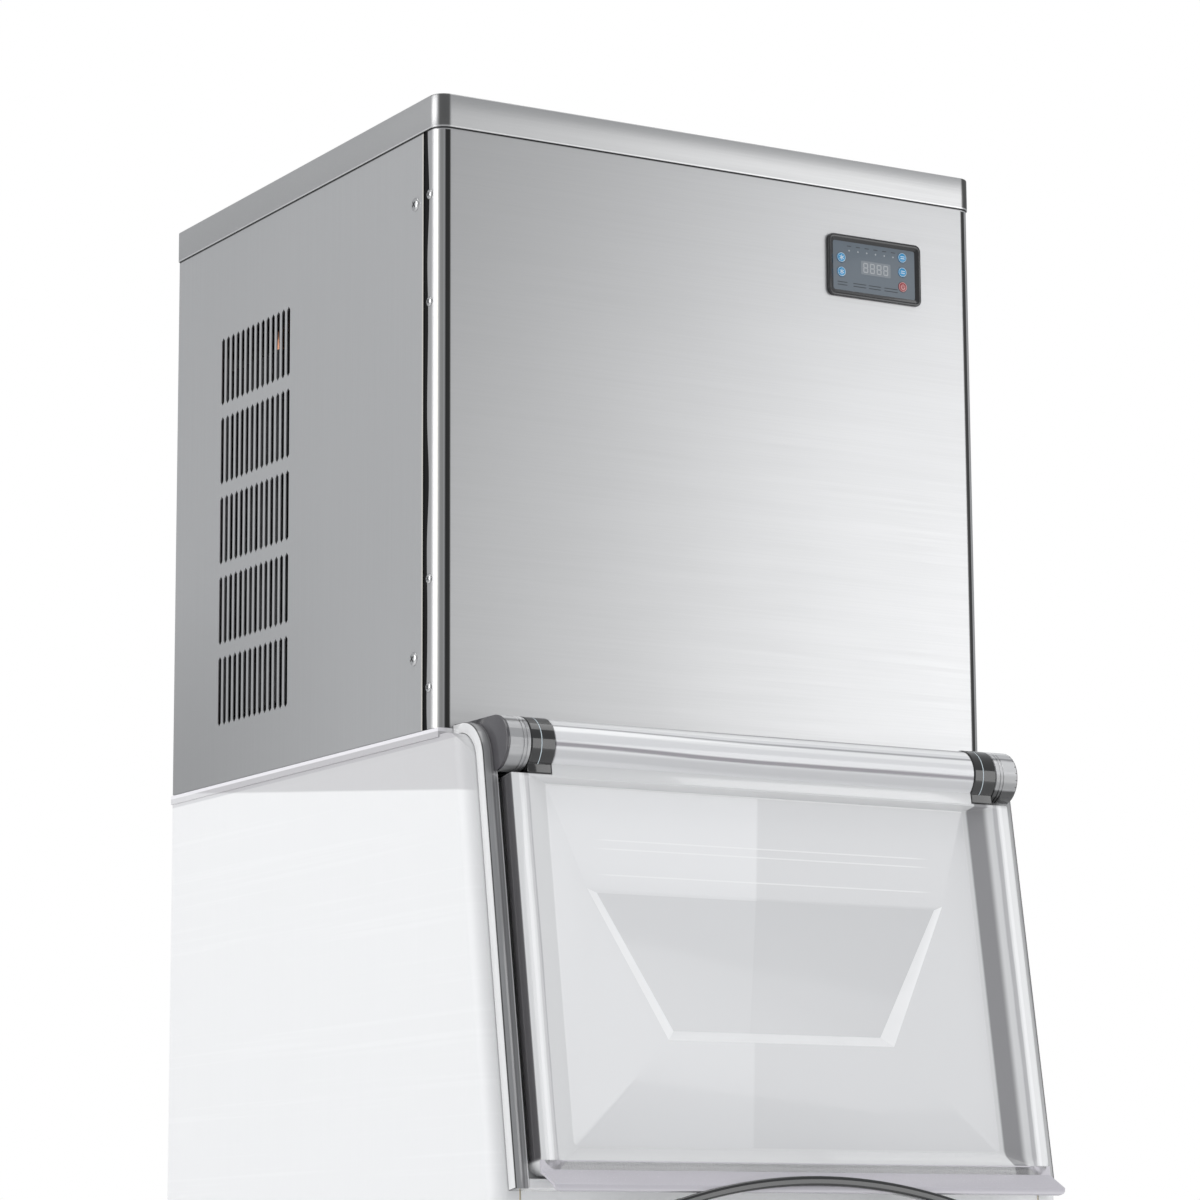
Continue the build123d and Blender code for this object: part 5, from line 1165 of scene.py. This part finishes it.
def build_frame():
    """Front frame: turned rails, sill, beam and the ears with their barrels."""
    m = MATERIALS
    bm = bmesh.new()
    tail = HEAD_FRONT - 3.05
    outer = [on_lean(-3.0, 366.0)] + edge_turn(-3.0, HEAD_BASE + 3.0, 36.0) + [(tail, HEAD_BASE + 3.0)]
    inner = [on_lean(-14.95, 366.0)] + edge_turn(-14.95, HEAD_BASE - 5.95, 28.0) + [(tail, HEAD_BASE - 5.95)]
    rail = outer + inner[::-1]
    plate = [(tail + 1, HEAD_BASE + 4.9), (tail + 1, HEAD_BASE + 0.05), (-212.7, HEAD_BASE + 0.05),
             (-212.7, HEAD_BASE - 48), (-225.2, HEAD_BASE - 48)]
    for n in range(25):
        a = math.radians(-90 - 180 * n / 24)
        plate.append((HINGE_Y + 23.4 * math.cos(a), HINGE_Z + 23.4 * math.sin(a)))
    for side in (-1, 1):
        outline_block(bm, rail, 253.0, 266.0, across(side), 0.9, 2, 0)
        outline_block(bm, plate, EAR_OUT - 3, EAR_OUT, across(side), 0.7, 2, 1)
        arm = [p for p in plate if p[0] > HINGE_Y - 8] + [(HINGE_Y - 5, HINGE_Z - 20)]
        arm = plate[:5] + [(HINGE_Y + 2, HINGE_Z - 18), (HINGE_Y + 2, HINGE_Z + 22)]
        outline_block(bm, arm, EAR_IN + 0.4, EAR_OUT - 3.2, across(side), 0.5, 1, 1)
        slot = 2 if side < 0 else 3
        rings = [(0.0, 22.4), (0.5, 23.2), (3.2, 23.4), (3.6, 22.7), (4.6, 22.7), (5.0, 23.4),
                 (6.6, 23.4), (7.0, 22.7), (7.8, 22.7), (8.2, 23.4), (19.6, 23.4), (20.0, 23.0)]
        if side > 0:
            rings = rings[:-1] + [(22.0, 23.4), (23.0, 22.4)]
        lathe(bm, rings, (side * EAR_IN, HINGE_Y, HINGE_Z), (side, 0, 0), 72, slot)
    part = bmesh.new()
    block(part, -253, 253, 3.05, 14.95, -366, -358, 1.0)
    part.transform(door_matrix())
    add_into(bm, part, 0)
    block(bm, -EAR_OUT + 0.05, EAR_OUT - 0.05, -225.2, -212.8, HEAD_BASE - 47.95, HEAD_BASE - 0.05, 0.8, 2, 4)
    return finish_mesh("front_frame", bm, [m["rail_clear"], m["ear_grey"], m["barrel_clear"],
                                           m["barrel_chrome"], m["bin_steel"]],
                       "machine", "bin_front_frame", 35)


def build_end_blocks():
    """Black blocks between tube and ears, each with its pale joint line."""
    m = MATERIALS
    bm = bmesh.new()
    for side in (-1, 1):
        joint = 13.3 if side < 0 else 9.0
        profile = [(0.0, 22.6), (0.7, 23.4), (joint - 0.5, 23.4), (joint - 0.4, 22.6), (joint + 0.4, 22.6),
                   (joint + 0.5, 23.4), (21.9, 23.4), (22.6, 22.6)]
        lathe(bm, profile, (side * BLOCK_IN, 0, 0), (side, 0, 0), 72, 0)
        ring = bmesh.new()
        lathe(ring, [(joint - 0.35, 23.3), (joint + 0.35, 23.3)], (side * BLOCK_IN, 0, 0), (side, 0, 0), 72)
        add_into(bm, ring, 1)
        x0, x1 = sorted((side * (BLOCK_IN + 0.05), side * (EAR_IN - 0.35)))
        block(bm, x0, x1, -12.95, 11.95, -26.95, -8.0, 1.2, 3, 0)
    return finish_mesh("end_blocks", bm, [m["gloss_black"], m["symbol_white"]], "door",
                       "door_end_blocks", 35, leaned=True)


def door_rings(settings):
    """Rings of the door moulding from its back flange over the rim down to the panel."""
    wall = settings.wall / MM
    soft = settings.soft_edge / MM
    start, end = 27.0, 356.0
    rings = []

    def ring(half, top, bottom, out, radius):
        rings.append([door_point(x, out, d) for x, d in
                      rounded_rectangle(-half, half, top, bottom, (2.0, 2.0, radius, radius), 8)])

    ring(DOOR_HALF - 22, start + 18, end - 36, -12.0, 6)
    ring(DOOR_HALF - soft, start + soft, end - soft, -12.0, 14)
    for n in range(1, 4):
        a = math.radians(30 * n)
        ring(DOOR_HALF - soft * (1 - math.sin(a)), start + soft * (1 - math.sin(a)),
             end - soft * (1 - math.sin(a)), -12.0 + soft * (1 - math.cos(a)), 14)
    for n in range(0, 4):
        a = math.radians(30 * n)
        ring(DOOR_HALF - soft * (1 - math.cos(a)), start + soft * (1 - math.cos(a)),
             end - soft * (1 - math.cos(a)), 13.0 - soft * (1 - math.sin(a)), 14)
    ring(DOOR_HALF - 15.0, 29.6, 347.0, 13.0, 8)
    ring(DOOR_HALF - 16.5, 30.0, 345.6, 12.2, 7)
    ring(211.0, 31.0, 333.0, -1.6, 5)
    ring(209.6, 32.2, 331.4, -2.0, 4.5)
    return rings, wall


def pocket_points(grow, out_top, out_low):
    """Corners of the wedge pocket: left top, left low, right low, right top."""
    upper, lower = 178.0 + grow, 112.0 + grow
    top, low = 118.0 - grow * 0.4, 243.0 + grow
    return [door_point(-upper, out_top, top), door_point(-lower, out_low, low),
            door_point(lower, out_low, low), door_point(upper, out_top, top)]


def build_door(settings):
    """Door moulding with its rim, recessed panel and wedge pocket."""
    m = MATERIALS
    rings, wall = door_rings(settings)
    bm = bmesh.new()
    kinds = [0] * (len(rings) - 1)
    kinds[-2] = kinds[-1] = 0
    made = bridge(bm, rings, slots=kinds)
    edge = made[-1]
    depth = settings.pocket / MM
    outer = [bm.verts.new(p) for p in pocket_points(0, -2.0, -2.0)]
    deep = [bm.verts.new(p) for p in (pocket_points(-9.0, -2.0, -2.0 - depth))]
    floor = bm.faces.new([deep[0], deep[1], deep[2], deep[3]])
    floor.material_index = 4
    for i in range(3):
        wall_face = bm.faces.new([outer[i], outer[i + 1], deep[i + 1], deep[i]])
        wall_face.material_index = 1
    top = bm.faces.new([outer[3], outer[0], deep[0], deep[3]])
    top.material_index = 2
    loop = [edge[i] for i in range(len(edge))]
    edges = [bm.edges.get((loop[i], loop[(i + 1) % len(loop)])) for i in range(len(loop))]
    edges += [bm.edges.get((outer[i], outer[(i + 1) % 4])) for i in range(4)]
    filled = bmesh.ops.triangle_fill(bm, edges=edges, use_beauty=True)
    for item in filled["geom"]:
        if isinstance(item, bmesh.types.BMFace):
            item.material_index = 2
    webs = bmesh.new()
    for out0, out1 in ((10.0, 13.0), (-12.0, -9.0)):
        part = bmesh.new()
        block(part, -BLOCK_IN + 0.05, BLOCK_IN - 0.05, -out1, -out0, -28.2, -14.0, 0.3)
        add_into(webs, part, 3)
    add_into_slots(bm, webs)
    # Pocket walls carry a painted highlight and the pocket floor a painted shade.
    return finish_mesh("door_moulding", bm, [m["door_rim"], m["pocket_highlight_white"], m["panel_white"], m["door_rim"], m["pocket_floor_shade"]],
                       "door", None, 30, leaned=True)


def add_into_slots(bm, part):
    """Copies one bmesh into another and keeps its material slots."""
    offset = {v: bm.verts.new(v.co) for v in part.verts}
    for f in part.faces:
        face = bm.faces.new([offset[v] for v in f.verts])
        face.material_index = f.material_index
    part.free()


def lens(grow, count=28):
    """Outline of the grip opening as (x, down) points."""
    middle, half = 388.0, 135.0
    end = 9.0 + grow
    top, bottom = 360.0 - grow, 416.0 + grow
    points = []

    def arc(a, b, c, steps):
        ax, ay, bx, by, cx, cy = *a, *b, *c
        d = 2 * (ax * (by - cy) + bx * (cy - ay) + cx * (ay - by))
        ux = ((ax**2 + ay**2) * (by - cy) + (bx**2 + by**2) * (cy - ay) + (cx**2 + cy**2) * (ay - by)) / d
        uy = ((ax**2 + ay**2) * (cx - bx) + (bx**2 + by**2) * (ax - cx) + (cx**2 + cy**2) * (bx - ax)) / d
        radius = math.hypot(ax - ux, ay - uy)
        a0, a1, a2 = (math.atan2(py - uy, px - ux) for px, py in (a, b, c))
        turn = (a2 - a0) % (2 * math.pi)
        if (a1 - a0) % (2 * math.pi) > turn:
            turn -= 2 * math.pi
        for n in range(steps):
            t = a0 + turn * n / steps
            points.append((ux + radius * math.cos(t), uy + radius * math.sin(t)))

    arc((-half, middle - end), (0, top), (half, middle - end), count)
    arc((half, middle - end), (half + end, middle), (half, middle + end), 8)
    arc((half, middle + end), (0, bottom), (-half, middle + end), count)
    arc((-half, middle + end), (-half - end, middle), (-half, middle - end), 8)
    return points


def build_lip():
    """Flared lip along the lower edge with the tongue round the grip."""
    bm = bmesh.new()
    profile = [(13.0, 346.0), (13.0, 353.6), (14.0, 355.0), (30.2, 367.4), (31.0, 368.8), (31.0, 373.2),
               (30.2, 374.0), (28.8, 374.0), (28.0, 373.2), (28.0, 369.6), (11.0, 356.6), (10.0, 355.0),
               (10.0, 346.0)]
    half = DOOR_HALF - 0.05
    stations = [(-half, 6.0), (-half + 0.6, 3.0), (-half + 2.5, 1.0), (-half + 6, 0.0)]
    stations += [(-x, cut) for x, cut in reversed(stations)]
    rings = []
    for x, cut in stations:
        rings.append([door_point(x, out, min(down, 374.0 - cut)) for out, down in profile])
    bridge(bm, rings, cap_start=True, cap_end=True)
    # Painted shade: the lip gets the darker copy of the door plastic.
    return finish_mesh("door_lip", bm, MATERIALS["lip_shade_lilac"], "door", None, 30, leaned=True)


def build_handle():
    """Lens shaped grip ring with rounded bars."""
    bm = bmesh.new()
    front, back = 31.0 + 3.0, 31.0 - 3.0 - 3.0
    section = [(0.0, back + 1.2), (0.0, front - 1.6), (0.5, front - 0.6), (1.5, front), (6.5, front),
               (7.5, front - 0.6), (8.0, front - 1.6), (8.0, back + 1.2), (7.4, back), (0.6, back)]
    rings = []
    for inset, out in section:
        rings.append([door_point(x, out, down) for x, down in lens(-inset)])
    rings.append(rings[0])
    bridge(bm, rings)
    return finish_mesh("grip_ring", bm, MATERIALS["gloss_black"], "door", "door_handle", 40, leaned=True)


# Stage

def look_axes(yaw, pitch, roll):
    """Camera axes from its turn, tilt and roll."""
    forward = Vector((math.sin(yaw) * math.cos(pitch), math.cos(yaw) * math.cos(pitch), math.sin(pitch)))
    right = Vector((math.cos(yaw), -math.sin(yaw), 0))
    up = right.cross(forward)
    return forward, right * math.cos(roll) + up * math.sin(roll), up * math.cos(roll) - right * math.sin(roll)


def build_stage():
    """Camera at the photograph's angle, plain floor, soft lights and a white surround."""
    scene = bpy.context.scene
    forward, right, up = look_axes(math.radians(30.53), math.radians(9.83), math.radians(-0.31))
    data = bpy.data.cameras.new("camera")
    data.sensor_width = 36.0
    data.lens = 118.47
    data.clip_start, data.clip_end = 0.05, 100.0
    camera = bpy.data.objects.new("camera", data)
    scene.collection.objects.link(camera)
    camera.matrix_world = Matrix.Translation((-1.81065, -3.05748, 0.61658)) @ Matrix((
        (right.x, up.x, -forward.x, 0), (right.y, up.y, -forward.y, 0),
        (right.z, up.z, -forward.z, 0), (0, 0, 0, 1)))
    scene.camera = camera

    bm = bmesh.new()
    bmesh.ops.create_grid(bm, x_segments=8, y_segments=8, size=6.0)
    mesh = bpy.data.meshes.new("floor")
    bm.to_mesh(mesh)
    bm.free()
    floor_shader = Shader("floor_white", (0.90, 0.90, 0.90), 0.7)
    patch = floor_shader.noise(floor_shader.scaled(2.0, 2.0, 2.0))
    floor_shader.mix(patch.step(0.4, 0.7) * 0.1, (0.86, 0.86, 0.86))
    mesh.materials.append(floor_shader.done())
    floor = bpy.data.objects.new("floor", mesh)
    floor.location.z = -0.0005
    scene.collection.objects.link(floor)

    world = bpy.data.worlds.new("studio")
    world.use_nodes = True
    scene.world = world
    tree = world.node_tree
    tree.nodes.clear()
    light_path = tree.nodes.new("ShaderNodeLightPath")
    seen = tree.nodes.new("ShaderNodeBackground")
    seen.inputs["Color"].default_value = (1, 1, 1, 1)
    seen.inputs["Strength"].default_value = 1.0
    lit = tree.nodes.new("ShaderNodeBackground")
    lit.inputs["Color"].default_value = (0.9, 0.92, 0.95, 1)
    lit.inputs["Strength"].default_value = 0.55
    both = tree.nodes.new("ShaderNodeMixShader")
    out = tree.nodes.new("ShaderNodeOutputWorld")
    tree.links.new(light_path.outputs["Is Camera Ray"], both.inputs[0])
    tree.links.new(lit.outputs[0], both.inputs[1])
    tree.links.new(seen.outputs[0], both.inputs[2])
    tree.links.new(both.outputs[0], out.inputs[0])

    lamp("key_light", (2.6, -3.4, 1.0), (0.1, -0.2, 1.1), 2.6, 3.2, 48.0)
    lamp("left_fill", (-3.6, 0.4, 2.0), (-0.28, 0.1, 1.2), 2.4, 2.4, 62.0)
    lamp("top_light", (0.2, -0.6, 4.2), (0.0, 0.0, 1.0), 3.0, 3.0, 40.0)
    scene.view_settings.view_transform = "Standard"


def lamp(name, spot, target, width, height, power):
    """Soft rectangular light aimed at a point."""
    data = bpy.data.lights.new(name, "AREA")
    data.shape = "RECTANGLE"
    data.size, data.size_y = width, height
    data.energy = power
    obj = bpy.data.objects.new(name, data)
    bpy.context.scene.collection.objects.link(obj)
    obj.location = spot
    obj.rotation_mode = "QUATERNION"
    obj.rotation_quaternion = (Vector(target) - Vector(spot)).to_track_quat("-Z", "Y")
    return obj


# Operators

class ICE_OT_materials(bpy.types.Operator):
    """Make the materials and paint the carried-over nodes"""
    bl_idname = "ice.materials"
    bl_label = "Materials"

    def execute(self, context):
        make_materials()
        paint_cad_nodes()
        return {"FINISHED"}


class ICE_OT_casing(bpy.types.Operator):
    """Build cover, front panel, vented side panel and seals"""
    bl_idname = "ice.casing"
    bl_label = "Head Casing"

    def execute(self, context):
        settings = context.scene.ice_casing
        build_cover(settings)
        build_front(settings)
        build_seals(settings)
        build_vent_panel(context.scene.ice_vents)
        return {"FINISHED"}


class ICE_OT_screws(bpy.types.Operator):
    """Set the casing screws"""
    bl_idname = "ice.screws"
    bl_label = "Screws"

    def execute(self, context):
        build_screws()
        return {"FINISHED"}


class ICE_OT_controls(bpy.types.Operator):
    """Build the key panel with its keys"""
    bl_idname = "ice.controls"
    bl_label = "Key Panel"

    def execute(self, context):
        build_bezel()
        build_membrane()
        for name, (x, z) in KEYS.items():
            build_key(name, x, z)
        return {"FINISHED"}


class ICE_OT_door(bpy.types.Operator):
    """Build hinge tube, door moulding, lip and grip"""
    bl_idname = "ice.door"
    bl_label = "Door"

    def execute(self, context):
        settings = context.scene.ice_door
        build_frame()
        build_tube()
        build_end_blocks()
        moulding = build_door(settings)
        build_lip()
        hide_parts("door_panel")
        build_handle()
        return {"FINISHED"}


class ICE_OT_stage(bpy.types.Operator):
    """Set camera, floor and lights"""
    bl_idname = "ice.stage"
    bl_label = "Stage"

    def execute(self, context):
        build_stage()
        return {"FINISHED"}


class ICE_PT_panel(bpy.types.Panel):
    bl_label = "Ice Machine"
    bl_idname = "ICE_PT_panel"
    bl_space_type = "VIEW_3D"
    bl_region_type = "UI"
    bl_category = "Ice Machine"

    def draw(self, context):
        layout = self.layout
        for group in ("ice_casing", "ice_vents", "ice_door"):
            settings = getattr(context.scene, group)
            box = layout.box()
            for name in settings.bl_rna.properties.keys():
                if name not in ("rna_type", "name"):
                    box.prop(settings, name)
        for operator in STEPS:
            layout.operator(operator.bl_idname)


STEPS = [ICE_OT_materials, ICE_OT_casing, ICE_OT_screws, ICE_OT_controls, ICE_OT_door, ICE_OT_stage]
CLASSES = [CasingSettings, VentSettings, DoorSettings, *STEPS, ICE_PT_panel]


def register():
    for cls in CLASSES:
        bpy.utils.register_class(cls)
    bpy.types.Scene.ice_casing = PointerProperty(type=CasingSettings)
    bpy.types.Scene.ice_vents = PointerProperty(type=VentSettings)
    bpy.types.Scene.ice_door = PointerProperty(type=DoorSettings)


def unregister():
    for name in ("ice_casing", "ice_vents", "ice_door"):
        delattr(bpy.types.Scene, name)
    for cls in reversed(CLASSES):
        bpy.utils.unregister_class(cls)


def main():
    register()
    for operator in STEPS:
        group, name = operator.bl_idname.split(".")
        getattr(getattr(bpy.ops, group), name)()


if __name__ == "__main__":
    main()
